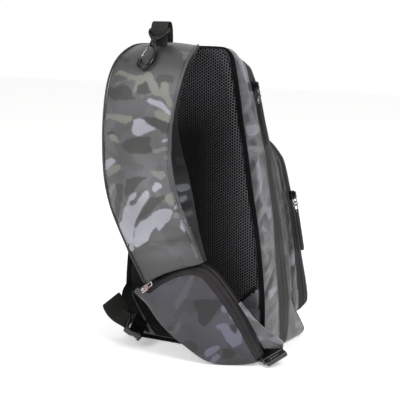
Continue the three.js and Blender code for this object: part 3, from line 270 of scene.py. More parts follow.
@dataclass(frozen=True)
class ClothFinish:
    """A printed nylon: its colours, gloss and thread pitch."""

    name: str
    ground: tuple
    dark: tuple
    light: tuple
    pale: tuple
    roughness: float = 0.5
    sheen: float = 0.08
    gloss: float = 0.35
    pitch: float = 1.3
    ribs: float = 0.0

    def material(self, weaves: Weaves) -> bpy.types.Material:
        """Builds the material.

        Args:
            weaves: The shared shader groups.

        Returns:
            The camouflage cloth.
        """
        made = bpy.data.materials.new(self.name)
        made.use_nodes = True
        graph = Graph(made.node_tree)
        place = graph.node("TexCoord").outputs["Object"]
        chart = graph.node("Attribute", attribute_name="chart").outputs["Color"]
        tint_sheen_and_shade = graph.node("Attribute", attribute_name="tint_sheen_and_shade").outputs["Color"]
        print_ = graph.node("Group", node_tree=weaves.camouflage)
        weave = graph.node("Group", node_tree=weaves.weave)
        wear = graph.node("Group", node_tree=weaves.wear)
        wear.inputs["Scale"].default_value = 9.0
        for made_node in (print_, weave, wear):
            graph.tree.links.new(place, made_node.inputs["Vector"])
        graph.tree.links.new(chart, print_.inputs["Chart"])
        graph.tree.links.new(tint_sheen_and_shade, print_.inputs["Tint_sheen_and_shade"])
        tones = {"Ground": self.ground, "Dark": self.dark, "Light": self.light, "Pale": self.pale}
        for key, value in tones.items():
            print_.inputs[key].default_value = value
        weave.inputs["Pitch"].default_value = self.pitch
        shade = weave.outputs["Shade"]
        height = weave.outputs["Height"]
        if self.ribs > 0:
            across = graph.node("Attribute", attribute_name="across").outputs["Fac"]
            rib = graph.math("SINE", graph.math("MULTIPLY", across, 6283.19 / 2.1))
            height = graph.math("ADD", height, graph.math("MULTIPLY", rib, self.ribs))
            # The ribs' hollows are painted a little darker, as painted shade.
            shade = graph.math("MULTIPLY", shade, graph.math("ADD", graph.math("MULTIPLY", rib, 0.05), 1.0))
        colour = graph.node("VectorMath", {0: print_.outputs["Color"], "Scale": shade}, operation="SCALE")
        bump = graph.node("Bump", {"Strength": 0.35, "Distance": 0.0003, "Height": height})
        rough = graph.math("ADD", graph.math("MULTIPLY", wear.outputs["Slow"], 0.22), self.roughness - 0.11)
        shader = graph.node("BsdfPrincipled", {
            "Base Color": colour.outputs[0], "Roughness": rough, "Normal": bump.outputs[0],
            "Sheen Weight": self.sheen, "Sheen Roughness": 0.4, "Specular IOR Level": self.gloss,
        })
        out = graph.node("OutputMaterial")
        graph.tree.links.new(shader.outputs[0], out.inputs[0])
        return made


@dataclass(frozen=True)
class MeshFinish:
    """The black air mesh of the back."""

    name: str
    thread: tuple
    glint: tuple
    hole: tuple
    pitch: float = 3.4

    def material(self, weaves: Weaves) -> bpy.types.Material:
        """Builds the material from the shared groups."""
        made = bpy.data.materials.new(self.name)
        made.use_nodes = True
        graph = Graph(made.node_tree)
        place = graph.node("TexCoord").outputs["Object"]
        lattice = graph.node("Group", {"Vector": place}, node_tree=weaves.air_mesh)
        lattice.inputs["Pitch"].default_value = self.pitch
        wear = graph.node("Group", {"Vector": place}, node_tree=weaves.wear)
        wear.inputs["Scale"].default_value = 14.0
        colour = graph.mix(lattice.outputs["Glint"], self.thread, self.glint)
        colour = graph.mix(lattice.outputs["Hole"], colour, self.hole)
        slow = graph.math("ADD", graph.math("MULTIPLY", wear.outputs["Slow"], 0.5), 0.75)
        # Dimmed by the painted shade attribute on the mesh's left and lower part, where the strap shades it.
        slow = graph.math("MULTIPLY", slow, graph.node("Attribute", attribute_name="painted_shade").outputs["Fac"])
        colour = graph.node("VectorMath", {0: colour, "Scale": slow}, operation="SCALE").outputs[0]
        bump = graph.node("Bump", {"Strength": 0.9, "Distance": 0.0009, "Height": lattice.outputs["Height"]})
        rough = graph.math("ADD", graph.math("MULTIPLY", lattice.outputs["Hole"], 0.3), 0.6)
        shader = graph.node("BsdfPrincipled", {
            "Base Color": colour, "Roughness": rough, "Normal": bump.outputs[0], "Specular IOR Level": 0.12,
        })
        out = graph.node("OutputMaterial")
        graph.tree.links.new(shader.outputs[0], out.inputs[0])
        return made


@dataclass(frozen=True)
class PlainFinish:
    """A single-coloured cloth, rubber, plastic or metal with wear and, for cloth, threads."""

    name: str
    colour: tuple
    worn: tuple
    roughness: float = 0.6
    metallic: float = 0.0
    pitch: float = 0.0
    relief: float = 0.0002
    coat: float = 0.0
    gloss: float = 0.2
    grain: float = 18.0

    def material(self, weaves: Weaves) -> bpy.types.Material:
        """Builds the material from the shared groups."""
        made = bpy.data.materials.new(self.name)
        made.use_nodes = True
        graph = Graph(made.node_tree)
        place = graph.node("TexCoord").outputs["Object"]
        wear = graph.node("Group", {"Vector": place}, node_tree=weaves.wear)
        wear.inputs["Scale"].default_value = self.grain
        colour = graph.mix(graph.step(wear.outputs["Slow"], 0.42, 0.7), self.colour, self.worn)
        height = wear.outputs["Fine"]
        if self.pitch > 0:
            weave = graph.node("Group", {"Vector": place}, node_tree=weaves.weave)
            weave.inputs["Pitch"].default_value = self.pitch
            height = weave.outputs["Height"]
            shaded = graph.node("VectorMath", {0: colour, "Scale": weave.outputs["Shade"]}, operation="SCALE")
            colour = shaded.outputs[0]
        bump = graph.node("Bump", {"Strength": 0.5, "Distance": self.relief, "Height": height})
        rough = graph.math("ADD", graph.math("MULTIPLY", wear.outputs["Slow"], 0.2), self.roughness - 0.1)
        shader = graph.node("BsdfPrincipled", {
            "Base Color": colour, "Roughness": rough, "Normal": bump.outputs[0],
            "Metallic": self.metallic, "Coat Weight": self.coat, "Coat Roughness": 0.25,
            "Specular IOR Level": self.gloss,
        })
        out = graph.node("OutputMaterial")
        graph.tree.links.new(shader.outputs[0], out.inputs[0])
        return made


CAMOUFLAGE = ClothFinish(
    "camouflage_cloth", rgb(68, 68, 69), rgb(44, 44, 42), rgb(112, 113, 105), rgb(148, 148, 158),
    roughness=0.42, gloss=0.5, ribs=0.8,
)
SIDE_CAMOUFLAGE = ClothFinish(
    "side_camouflage_cloth", rgb(62, 62, 66), rgb(42, 42, 46), rgb(84, 85, 87), rgb(118, 118, 128),
    roughness=0.3, gloss=0.85,
)
DARK_CAMOUFLAGE = ClothFinish(
    "dark_camouflage_cloth", rgb(52, 50, 54), rgb(34, 32, 33), rgb(74, 73, 76), rgb(98, 98, 114),
    roughness=0.46,
)
WALL_CAMOUFLAGE = ClothFinish(
    "strap_wall_cloth", rgb(58, 59, 60), rgb(38, 38, 39), rgb(88, 90, 92), rgb(120, 124, 132),
    roughness=0.75, gloss=0.1,
)
GLOSSY_CAMOUFLAGE = ClothFinish(
    "glossy_camouflage_cloth", rgb(16, 16, 18), rgb(9, 9, 10), rgb(28, 28, 31), rgb(96, 96, 106),
    roughness=0.28, gloss=0.8,
)
AIR_MESH = MeshFinish("mesh_cloth", rgb(46, 46, 48), rgb(104, 104, 110), rgb(2, 2, 2))
BINDING = PlainFinish("binding_tape", rgb(9, 9, 10), rgb(17, 17, 18), 0.8, pitch=0.9, gloss=0.08)
PIPING = PlainFinish("piping", rgb(70, 70, 72), rgb(96, 96, 100), 0.5, pitch=1.0)
DARK_PIPING = PlainFinish("dark_piping", rgb(46, 46, 47), rgb(62, 62, 63), 0.5, pitch=1.0)
ZIP_TAPE = PlainFinish("zip_tape", rgb(54, 55, 53), rgb(64, 65, 62), 0.75, pitch=1.2, relief=0.0003)
DARK_ZIP_TAPE = PlainFinish("dark_zip_tape", rgb(38, 35, 37), rgb(50, 47, 49), 0.7, pitch=1.2, relief=0.0003)
ZIP_COIL = PlainFinish("zip_coil", rgb(20, 20, 21), rgb(34, 34, 36), 0.45)
WEBBING = PlainFinish("webbing", rgb(38, 39, 36), rgb(50, 51, 47), 0.85, pitch=1.8, relief=0.0005, gloss=0.12)
LINING = PlainFinish(
    "strap_lining", rgb(16, 16, 17), rgb(26, 26, 27), 0.85, pitch=1.6, relief=0.0004, gloss=0.1
)
BLACK_METAL = PlainFinish(
    "black_metal", rgb(34, 34, 36), rgb(58, 57, 58), 0.26, metallic=0.9, coat=0.3, grain=60.0
)
STEEL = PlainFinish("steel", rgb(198, 184, 182), rgb(150, 140, 140), 0.24, metallic=1.0, grain=80.0)
GATE_STEEL = PlainFinish("gate_steel", rgb(128, 128, 132), rgb(84, 84, 88), 0.28, metallic=1.0, grain=80.0)
RUBBER = PlainFinish("puller_rubber", rgb(30, 31, 30), rgb(40, 41, 39), 0.6)
PLASTIC = PlainFinish("black_plastic", rgb(12, 12, 13), rgb(20, 20, 21), 0.22, relief=0.0001, gloss=0.7)
THREAD = PlainFinish("stitch_thread", rgb(52, 52, 54), rgb(70, 70, 72), 0.6)
DARK_THREAD = PlainFinish("dark_thread", rgb(18, 18, 19), rgb(28, 28, 30), 0.6)


class Wardrobe:
    """All materials, each made on first use."""

    def __init__(self) -> None:
        """Makes the shared groups."""
        self.weaves = Weaves()
        self._made: dict[str, bpy.types.Material] = {}

    def get(self, finish) -> bpy.types.Material:
        """Returns the material of a finish."""
        if finish.name not in self._made:
            self._made[finish.name] = finish.material(self.weaves)
        return self._made[finish.name]


@dataclass(frozen=True)
class Patch:
    """One printed patch of the camouflage: its tone and its corners in chart coordinates."""

    tone: Tone
    corners: tuple[tuple[float, float], ...]

    def depth(self, u: np.ndarray, v: np.ndarray, scale: tuple[float, float]) -> np.ndarray:
        """Returns how far inside the patch each point lies, in millimetres; less than zero outside.

        Args:
            u: First chart coordinate of the points.
            v: Second chart coordinate of the points.
            scale: Millimetres per unit of each coordinate.
        """
        points = np.stack([u * scale[0], v * scale[1]], axis=1)
        ring = np.array(self.corners) * np.array(scale)
        nearest = np.full(len(points), np.inf)
        inside = np.zeros(len(points), bool)
        for start, end in zip(ring, np.roll(ring, -1, axis=0)):
            way = end - start
            share = np.clip(((points - start) @ way) / max(way @ way, 1e-9), 0, 1)
            nearest = np.minimum(nearest, np.linalg.norm(points - start - share[:, None] * way, axis=1))
            if abs(way[1]) > 1e-9:
                spans = (start[1] > points[:, 1]) != (end[1] > points[:, 1])
                inside ^= spans & (points[:, 0] < start[0] + (points[:, 1] - start[1]) * way[0] / way[1])
        return np.where(inside, nearest, -nearest)


# Patches of the strap, by row and by side from -1 at its left edge to 1 at its right; the pale patches are
# partly print and partly painted sheen, and the pale one at rows 4.5 to 4.9 is a painted highlight
STRAP_CHART = (
    Patch(Tone.LIGHT, (
        (3.87, -0.82), (3.74, -0.75), (3.72, -0.6), (3.79, -0.41), (3.82, -0.18), (3.78, 0.02),
        (3.68, 0.05),
        (3.6, 0.1), (3.64, 0.21), (3.73, 0.29), (3.88, 0.34), (4.0, 0.45), (4.13, 0.49), (4.25, 0.53),
        (4.09, 0.55), (3.95, 0.53), (3.88, 0.6), (3.9, 0.69), (4.02, 0.75), (4.2, 0.79), (4.34, 0.84),
        (4.47, 0.91), (4.62, 0.97), (4.65, 0.9), (4.55, 0.8), (4.46, 0.74), (4.38, 0.61), (4.36, 0.49),
        (4.38, 0.28), (4.44, 0.16), (4.53, 0.09), (4.46, 0.1), (4.34, 0.33), (4.3, 0.37), (4.18, 0.26),
        (4.08, 0.22), (4.0, 0.16), (4.0, 0.09), (4.08, 0.07), (4.11, -0.01), (4.14, -0.07), (4.28, -0.06),
        (4.37, -0.08), (4.37, -0.15), (4.26, -0.16), (4.12, -0.14), (4.02, -0.15), (4.02, -0.29),
        (4.06, -0.41), (4.12, -0.53), (4.2, -0.65), (4.27, -0.7), (4.23, -0.8), (4.15, -0.71),
        (4.11, -0.56),
        (4.05, -0.46), (3.99, -0.37), (3.94, -0.46), (3.89, -0.56), (3.86, -0.69), (3.92, -0.81),
    )),
    Patch(Tone.PALE, (
        (4.47, 0.31), (4.49, 0.5), (4.51, 0.68), (4.6, 0.76), (4.78, 0.95), (4.87, 0.99), (4.84, 0.89),
        (4.76, 0.73), (4.7, 0.57), (4.66, 0.42), (4.58, 0.24),
    )),
    Patch(Tone.LIGHT, (
        (4.8, 0.55), (4.73, 0.66), (4.88, 0.98), (5.1, 1.02), (5.08, 0.9), (5.03, 0.74), (4.98, 0.6),
        (4.87, 0.51),
    )),
    Patch(Tone.DARK, (
        (4.0, 0.08), (4.0, 0.15), (4.09, 0.21), (4.18, 0.26), (4.25, 0.33), (4.32, 0.32), (4.38, 0.15),
        (4.4, 0.0), (4.36, -0.06), (4.16, -0.07), (4.12, -0.01), (4.09, 0.07),
    )),
    Patch(Tone.DARK, (
        (4.3, -1.05), (4.3, -0.75), (4.22, -0.55), (4.2, -0.3), (4.35, -0.2), (4.5, -0.15), (4.55, -0.05),
        (4.62, -0.3), (4.68, -0.5), (4.66, -0.7), (4.55, -0.95), (4.5, -1.05),
    )),
    Patch(Tone.DARK, (
        (3.65, 0.38), (3.55, 0.6), (3.6, 0.85), (3.85, 0.8), (3.87, 0.72), (3.85, 0.6), (3.93, 0.52),
        (4.22, 0.55), (4.12, 0.5), (3.98, 0.45), (3.87, 0.36),
    )),
    Patch(Tone.DARK, (
        (5.7, -0.12), (5.62, 0.18), (5.57, 0.43), (5.62, 0.52), (5.83, 0.49), (6.06, 0.57), (6.15, 0.31),
        (6.15, -0.15), (6.03, -0.32), (5.9, -0.35), (5.75, -0.22),
    )),
    Patch(Tone.DARK, (
        (5.06, 0.07), (5.03, 0.28), (4.98, 0.62), (5.05, 0.77), (5.13, 1.05), (5.47, 1.05), (5.42, 0.78),
        (5.33, 0.66), (5.17, 0.38), (5.08, 0.22),
    )),
    Patch(Tone.DARK, ((2.9, -1.0), (2.95, -0.62), (3.2, -0.5), (3.35, -0.62), (3.2, -0.8), (3.3, -1.0))),
    Patch(Tone.PALE, (
        (5.15, -0.03), (5.08, 0.12), (5.1, 0.25), (5.22, 0.45), (5.33, 0.68), (5.42, 0.48), (5.52, 0.32),
        (5.62, 0.17), (5.57, -0.02), (5.45, -0.06), (5.28, -0.03),
    )),
    Patch(Tone.LIGHT, (
        (5.1, -0.9), (5.05, -0.5), (5.05, -0.1), (5.15, -0.05), (5.32, -0.25), (5.27, -0.5),
        (5.2, -0.75), (5.3, -0.95),
    )),
    Patch(Tone.PALE, ((5.7, 0.77), (5.6, 0.87), (5.6, 0.96), (5.68, 0.95), (5.72, 0.8))),
    Patch(Tone.LIGHT, (
        (6.02, 0.55), (5.95, 0.63), (5.86, 0.81), (5.83, 1.03), (5.93, 1.03), (6.02, 0.87), (6.07, 0.69),
        (6.08, 0.55),
    )),
    Patch(Tone.LIGHT, ((6.2, 0.86), (6.12, 0.93), (6.1, 1.03), (6.25, 1.03), (6.28, 0.9))),
    Patch(Tone.LIGHT, ((2.45, 0.62), (2.4, 1.05), (2.9, 1.05), (2.85, 0.86), (2.6, 0.8))),
    Patch(Tone.LIGHT, ((5.75, -0.5), (5.62, -0.62), (5.7, -0.8), (5.85, -0.7), (5.9, -0.5), (5.85, -0.42))),
    Patch(Tone.DARK, ((5.62, -0.85), (5.55, -0.7), (5.6, -0.55), (5.75, -0.62), (5.75, -0.82))),
    Patch(Tone.PALE, (
        (6.6, -0.98), (6.43, -0.87), (6.37, -0.71), (6.38, -0.6), (6.46, -0.57), (6.57, -0.7),
        (6.7, -0.82), (6.75, -0.98),
    )),
    Patch(Tone.LIGHT, (
        (6.75, -0.98), (6.6, -0.7), (6.56, -0.46), (6.63, -0.4), (6.8, -0.62), (6.93, -0.8), (6.95, -0.98),
    )),
    Patch(Tone.LIGHT, ((6.68, 0.48), (6.66, 0.82), (6.85, 0.88), (7.0, 0.72), (6.86, 0.55))),
    Patch(Tone.PALE, (
        (7.52, -0.25), (7.45, -0.11), (7.4, -0.01), (7.55, -0.05), (7.7, -0.18), (7.8, -0.32), (7.9, -0.36),
        (7.95, -0.26), (7.86, -0.14), (7.64, 0.01), (7.45, 0.17), (7.35, 0.28), (7.47, 0.32), (7.68, 0.28),
        (7.85, 0.17), (8.0, 0.06), (8.27, -0.12), (8.5, -0.29), (8.85, -0.45), (9.2, -0.6), (9.5, -0.72),
        (9.67, -0.72), (9.8, -0.87), (9.65, -0.9), (9.4, -0.85), (9.25, -0.93), (9.05, -0.97),
        (8.77, -0.95),
        (8.57, -0.88), (8.44, -0.75), (8.1, -0.58), (7.8, -0.4),
    )),
    Patch(Tone.PALE, (
        (8.45, 0.17), (8.33, 0.3), (8.25, 0.48), (8.27, 0.65), (8.38, 0.77), (8.55, 0.8), (8.7, 0.74),
        (8.85, 0.65), (9.0, 0.48), (9.25, 0.22), (9.15, 0.2), (9.0, 0.2), (9.1, 0.08), (9.35, -0.12),
        (9.5, -0.2), (9.6, -0.42), (9.68, -0.65), (9.5, -0.7), (9.2, -0.58), (8.85, -0.43), (8.6, -0.2),
        (8.55, 0.0),
    )),
    Patch(Tone.DARK, (
        (7.68, 0.33), (7.7, 0.45), (7.62, 0.7), (7.75, 0.75), (7.95, 0.57), (8.27, 0.22), (8.45, 0.02),
        (8.52, -0.2), (8.62, -0.32), (8.45, -0.25), (8.2, -0.08), (7.87, 0.18),
    )),
    Patch(Tone.DARK, (
        (7.15, -0.65), (7.12, -0.37), (7.3, -0.45), (7.5, -0.52), (7.65, -0.5), (8.1, -0.7), (8.4, -0.85),
        (8.2, -0.88), (7.75, -0.82), (7.5, -0.68),
    )),
    Patch(Tone.LIGHT, (
        (7.4, -0.97), (7.2, -0.8), (7.12, -0.62), (7.33, -0.72), (7.65, -0.9), (8.05, -0.9), (8.35, -0.92),
        (8.1, -1.02), (7.7, -1.02),
    )),
    Patch(Tone.DARK, (
        (6.95, -0.28), (6.9, 0.0), (6.87, 0.4), (7.1, 0.1), (7.3, -0.05), (7.42, -0.1), (7.5, -0.25),
        (7.55, -0.4),
        (7.35, -0.4),
    )),
    Patch(Tone.PALE, (
        (7.27, 0.45), (7.12, 0.55), (7.1, 0.63), (7.17, 0.72), (7.3, 0.73), (7.38, 0.62), (7.47, 0.52),
        (7.5, 0.46),
        (7.4, 0.42),
    )),
    Patch(Tone.LIGHT, (
        (7.7, 0.73), (7.56, 0.9), (7.55, 1.02), (7.97, 0.97), (8.18, 0.88), (8.2, 0.78), (8.05, 0.75),
        (7.9, 0.7),
    )),
    Patch(Tone.PALE, ((8.22, 0.9), (8.12, 0.98), (8.42, 1.02), (8.42, 0.88), (8.38, 0.84))),
    Patch(Tone.LIGHT, ((8.58, 0.8), (8.67, 0.97), (8.95, 1.02), (8.9, 0.86), (8.8, 0.71))),
    Patch(Tone.PALE, (
        (8.95, 0.9), (9.0, 1.02), (9.2, 1.02), (9.65, 0.93), (9.65, 0.86), (9.42, 0.82), (9.2, 0.88),
    )),
    Patch(Tone.LIGHT, ((10.1, 0.92), (10.12, 1.0), (10.5, 1.0), (10.5, 0.9))),
)

# Patches of the strap's thickness, by row and by millimetres off the face; the pale ones are partly print and
# partly painted sheen
WALL_CHART = (
    Patch(Tone.PALE, ((7.3, -3.0), (7.4, -20.0), (7.6, -24.0), (7.75, -22.0), (7.7, -10.0), (7.55, -3.0))),
    Patch(Tone.PALE, ((7.88, -3.0), (7.92, -14.0), (8.16, -16.0), (8.2, -6.0), (8.08, -3.0))),
    Patch(Tone.LIGHT, ((8.75, -3.0), (8.8, -15.0), (9.05, -17.0), (9.0, -5.0))),
    Patch(Tone.DARK, ((8.25, -1.0), (8.3, -20.0), (8.7, -20.0), (8.65, -1.0))),
    Patch(Tone.LIGHT, ((6.2, -8.0), (6.3, -20.0), (6.6, -22.0), (6.5, -10.0))),
)

# Patches of the pouch's face, by row and side as on the strap
POUCH_CHART = (
    Patch(Tone.PALE, ((13.03, 0.9), (13.0, 1.0), (13.27, 1.0), (13.5, 0.98), (13.5, 0.87), (13.33, 0.83))),
    Patch(Tone.PALE, (
        (13.57, 0.72), (13.5, 0.8), (13.62, 0.87), (13.9, 0.83), (13.95, 0.75), (13.87, 0.69),
        (13.73, 0.67),
    )),
    Patch(Tone.PALE, (
        (14.1, 0.8), (14.3, 0.93), (14.58, 1.0), (14.78, 1.0), (15.14, 0.82), (15.47, 0.58), (15.38, 0.27),
        (15.0, 0.28), (14.72, 0.33), (14.43, 0.38), (14.23, 0.3), (14.16, 0.42), (14.24, 0.56),
        (14.44, 0.62),
        (14.75, 0.58), (14.98, 0.62), (14.72, 0.84), (14.45, 0.78), (14.22, 0.72),
    )),
    Patch(Tone.PALE, (
        (14.88, -0.55), (14.8, -0.42), (14.8, -0.25), (14.9, 0.02), (15.05, 0.02), (15.1, -0.2),
        (15.12, -0.42),
        (15.1, -0.6),
    )),
    Patch(Tone.PALE, (
        (15.2, -0.42), (15.22, -0.2), (15.4, -0.2), (15.45, -0.42), (15.5, -0.7), (15.3, -0.68),
    )),
    Patch(Tone.DARK, (
        (12.29, 0.3), (12.62, 0.57), (13.25, 0.85), (13.47, 0.77), (13.8, 0.38), (13.9, 0.12), (13.6, 0.05),
        (13.1, 0.2), (12.6, 0.22),
    )),
    Patch(Tone.DARK, ((14.98, 0.64), (14.75, 0.6), (14.46, 0.64), (14.7, 0.82))),
    Patch(Tone.DARK, (
        (15.25, -0.05), (15.1, 0.05), (15.3, 0.2), (15.7, 0.25), (15.75, -0.1), (15.5, -0.2),
    )),
    Patch(Tone.LIGHT, (
        (11.14, 0.65), (11.3, 0.68), (11.56, 0.57), (11.9, 0.3), (12.17, 0.0), (12.4, -0.2), (12.25, -0.3),
        (11.95, -0.15), (11.6, 0.2), (11.33, 0.5),
    )),
    Patch(Tone.LIGHT, (
        (13.06, -0.37), (13.3, -0.45), (13.5, -0.65), (13.55, -0.75), (13.35, -0.88), (13.25, -0.87),
        (13.37, -0.7),
        (13.15, -0.56), (13.03, -0.45),
    )),
    Patch(Tone.LIGHT, (
        (11.1, -1.0), (12.0, -1.0), (13.2, -1.0), (13.2, -0.92), (12.0, -0.93), (11.1, -0.9),
    )),
    Patch(Tone.DARK, ((13.0, -0.86), (13.08, -0.63), (13.3, -0.72), (13.25, -0.86))),
    Patch(Tone.DARK, ((14.0, -0.9), (14.1, -0.5), (14.5, -0.45), (14.7, -0.7), (14.5, -0.95))),
)

# Patches of the side wall, by height as a share and by place from the back seam to the zip; most are print,
# but the pale top, the light band at the fold near 0.67 and the pale patch on the middle ridge are painted
# highlights
SIDE_CHART = (
    Patch(Tone.PALE, ((0.975, 0.25), (0.97, 0.5), (0.9, 0.62), (0.86, 0.6), (0.9, 0.42))),
    Patch(Tone.DARK, ((0.79, 0.1), (0.785, 0.36), (0.76, 0.38), (0.755, 0.1))),
    Patch(Tone.PALE, ((0.75, 0.15), (0.75, 0.65), (0.745, 1.0), (0.725, 1.0), (0.717, 0.8), (0.715, 0.15))),
    Patch(Tone.DARK, ((0.712, 0.15), (0.714, 0.8), (0.7, 1.0), (0.685, 1.0), (0.68, 0.15))),
    Patch(Tone.LIGHT, ((0.682, 0.1), (0.68, 0.5), (0.675, 1.0), (0.655, 1.0), (0.66, 0.5), (0.667, 0.1))),
    Patch(Tone.PALE, ((0.63, 0.4), (0.63, 0.56), (0.5, 0.52), (0.48, 0.4), (0.55, 0.36))),
    Patch(Tone.DARK, ((0.64, 0.05), (0.64, 0.34), (0.54, 0.3), (0.5, 0.05))),
    Patch(Tone.PALE, ((0.478, 0.62), (0.478, 0.93), (0.445, 0.92), (0.44, 0.66))),
    Patch(Tone.LIGHT, ((0.43, 0.25), (0.43, 0.45), (0.36, 0.42), (0.35, 0.28))),
    Patch(Tone.DARK, ((0.35, 0.45), (0.34, 0.95), (0.27, 0.9), (0.28, 0.5))),
    Patch(Tone.PALE, ((0.215, 0.3), (0.222, 1.0), (0.2, 1.0), (0.185, 0.3))),
    Patch(Tone.DARK, ((0.12, 0.3), (0.13, 0.8), (0.06, 0.9), (0.05, 0.4))),
)


# Folds of the side wall: height as a share, spread, depth in millimetres, and slant
SIDE_FOLDS = (
    (0.665, 0.01, -3.6, -0.05), (0.45, 0.009, -3.8, 0.06), (0.49, 0.012, 2.4, 0.05),
    (0.345, 0.01, -2.6, -0.06), (0.235, 0.009, -3.2, 0.1), (0.72, 0.012, 2.4, 0.03),
    (0.8, 0.013, -1.8, 0.03), (0.58, 0.013, -1.8, -0.04), (0.63, 0.012, 1.8, 0.1),
    (0.4, 0.012, 1.6, -0.08), (0.29, 0.012, 1.6, 0.05), (0.53, 0.009, -1.4, 0.12),
)

# Folds of the strap: row, side, slope, spread, and depth in millimetres
STRAP_FOLDS = (
    (8.0, -0.55, 1.5, 0.1, 1.4), (8.6, 0.2, -1.2, 0.12, 1.3), (7.7, 0.35, -1.3, 0.1, -1.2),
    (9.7, 0.0, 0.15, 0.16, -1.6), (9.3, -0.75, 2.5, 0.08, 1.2), (10.3, 0.3, 0.4, 0.2, 1.2),
    (5.2, 0.5, -1.6, 0.16, 0.9), (4.5, 0.7, -1.5, 0.16, 0.8),
)


@dataclass(frozen=True)
class Bars:
    """The size and spacing of a row of stitches or teeth."""

    spacing: float
    length: float
    width: float


WALL_STITCH = Bars(3.4 * MM, 2.4 * MM, 0.6 * MM)
ZIP_STITCH = Bars(3.2 * MM, 2.2 * MM, 0.5 * MM)
STRAP_STITCH = Bars(3.6 * MM, 2.5 * MM, 0.6 * MM)
ZIP_TOOTH = Bars(1.7 * MM, 0.9 * MM, 1.6 * MM)


def noise_field(points: np.ndarray, scale: float, seed: float) -> np.ndarray:
    """Returns smooth noise between about -1 and 1 at points in metres.

    Args:
        points: The points.
        scale: Size of a feature in metres.
        seed: Moves the noise, so that layers differ.
    """
    shift = Vector((seed, seed * 1.7, -seed))
    return np.array([noise.noise(Vector(p) / scale + shift) for p in points])


def set_chart(mesh: bpy.types.Mesh, chart: np.ndarray, tint_sheen_and_shade: np.ndarray) -> None:
    """Stores the camouflage chart and its tint, painted sheen and painted shade on a mesh, as colours of its
    points.
    """
    for name, values in (("chart", chart), ("tint_sheen_and_shade", tint_sheen_and_shade)):
        layer = mesh.attributes.new(name, "FLOAT_COLOR", "POINT")
        full = np.ones((len(mesh.vertices), 4), np.float32)
        full[:, :3] = values
        layer.data.foreach_set("color", full.ravel())


def chart_by_noise(points: np.ndarray, size: float = 0.042) -> np.ndarray:
    """Returns camouflage channels from noise alone, for cloth whose blotches aren't placed."""
    fields = []
    for seed, cutoff, scale in ((3.1, 0.1, size), (7.7, 0.22, size * 0.8), (12.3, 0.34, size)):
        stretched = points * np.array([1.0, 1.0, 1.5])
        fields.append(0.5 + 1.6 * (noise_field(stretched, scale, seed) - cutoff))
    return np.clip(np.stack(fields, axis=1), 0, 1)


def chart_by_hand(
    u: np.ndarray, v: np.ndarray, chart: Sequence[Patch], scale: tuple[float, float]
) -> np.ndarray:
    """Returns camouflage channels from placed patches.

    Args:
        u: First chart coordinate of each point.
        v: Second chart coordinate of each point.
        chart: The patches.
        scale: Millimetres per unit of each coordinate.

    Returns:
        Three channels, each 0.5 on a patch's border.
    """
    channels = np.zeros((len(u), 3))
    for patch in chart:
        field = np.clip(0.5 + patch.depth(u, v, scale) / 12, 0, 1)
        column = channels[:, patch.tone.value]
        channels[:, patch.tone.value] = np.maximum(column, field)
    return channels


def coordinates(mesh: bpy.types.Mesh) -> np.ndarray:
    """Returns the mesh's points as rows."""
    flat = np.empty(len(mesh.vertices) * 3)
    mesh.vertices.foreach_get("co", flat)
    return flat.reshape(-1, 3)


def normals(mesh: bpy.types.Mesh) -> np.ndarray:
    """Returns the mesh's point normals as rows."""
    flat = np.empty(len(mesh.vertices) * 3)
    mesh.vertices.foreach_get("normal", flat)
    return flat.reshape(-1, 3)


def place(mesh: bpy.types.Mesh, points: np.ndarray) -> None:
    """Moves the mesh's points."""
    mesh.vertices.foreach_set("co", points.ravel())
    mesh.update()


def finer(
    node: str, name: str, levels: int, shape: Shape = Shape.SOFT, sharp: float = 40.0
) -> bpy.types.Object:
    """Makes a smooth, finely divided copy of a solid.

    Args:
        node: The solid's name.
        name: The new piece's name.
        levels: How often each face is divided.
        shape: How tight the copy keeps sharp edges.
        sharp: The angle in degrees from which an edge counts as sharp.

    Returns:
        The new piece, at the origin.
    """
    work = bmesh.new()
    work.from_mesh(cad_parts[node].data)
    bmesh.ops.remove_doubles(work, verts=work.verts, dist=2e-5)
    bmesh.ops.join_triangles(
        work, faces=work.faces, angle_face_threshold=math.radians(35), angle_shape_threshold=math.radians(80)
    )
    creases = work.edges.layers.float.new("crease_edge")
    for edge in work.edges:
        if len(edge.link_faces) == 2 and edge.calc_face_angle(0) > math.radians(sharp):
            edge[creases] = shape.value
    mesh = bpy.data.meshes.new(name)
    work.to_mesh(mesh)
    work.free()
    piece = bpy.data.objects.new(name, mesh)
    bpy.context.scene.collection.objects.link(piece)
    divide = piece.modifiers.new("divide", "SUBSURF")
    divide.levels = levels
    divide.render_levels = levels
    return bake(piece)


def bake(piece: bpy.types.Object) -> bpy.types.Object:
    """Applies every modifier of a piece to its mesh and shades it smooth."""
    graph = bpy.context.evaluated_depsgraph_get()
    graph.update()
    made = bpy.data.meshes.new_from_object(piece.evaluated_get(graph), depsgraph=graph)
    piece.modifiers.clear()
    piece.data = made
    made.name = piece.name
    made.shade_smooth()
    return piece


def dress(piece: bpy.types.Object, material: bpy.types.Material, body: str, slot: str, *nodes: str) -> None:
    """Gives a piece its material and its body, and hides the solids it stands for."""
    piece.data.materials.clear()
    piece.data.materials.append(material)
    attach(piece, body)
    if nodes:
        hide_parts(*nodes)
    triangles = sum(len(face.vertices) - 2 for face in piece.data.polygons)
    LOG.info("%s: %d triangles", piece.name, triangles)


def patch_material(piece: bpy.types.Object, material: bpy.types.Material, where: np.ndarray) -> None:
    """Gives the faces of a piece a second material where most of their points are marked.

    Args:
        piece: A piece that has its first material.
        material: The second material.
        where: For each point, whether it is marked.
    """
    piece.data.materials.append(material)
    for face in piece.data.polygons:
        if sum(where[i] for i in face.vertices) * 2 > len(face.vertices):
            face.material_index = 1


def swell(piece: bpy.types.Object, amount: float) -> None:
    """Moves every point of a piece outward along its normal."""
    place(piece.data, coordinates(piece.data) + normals(piece.data) * amount)


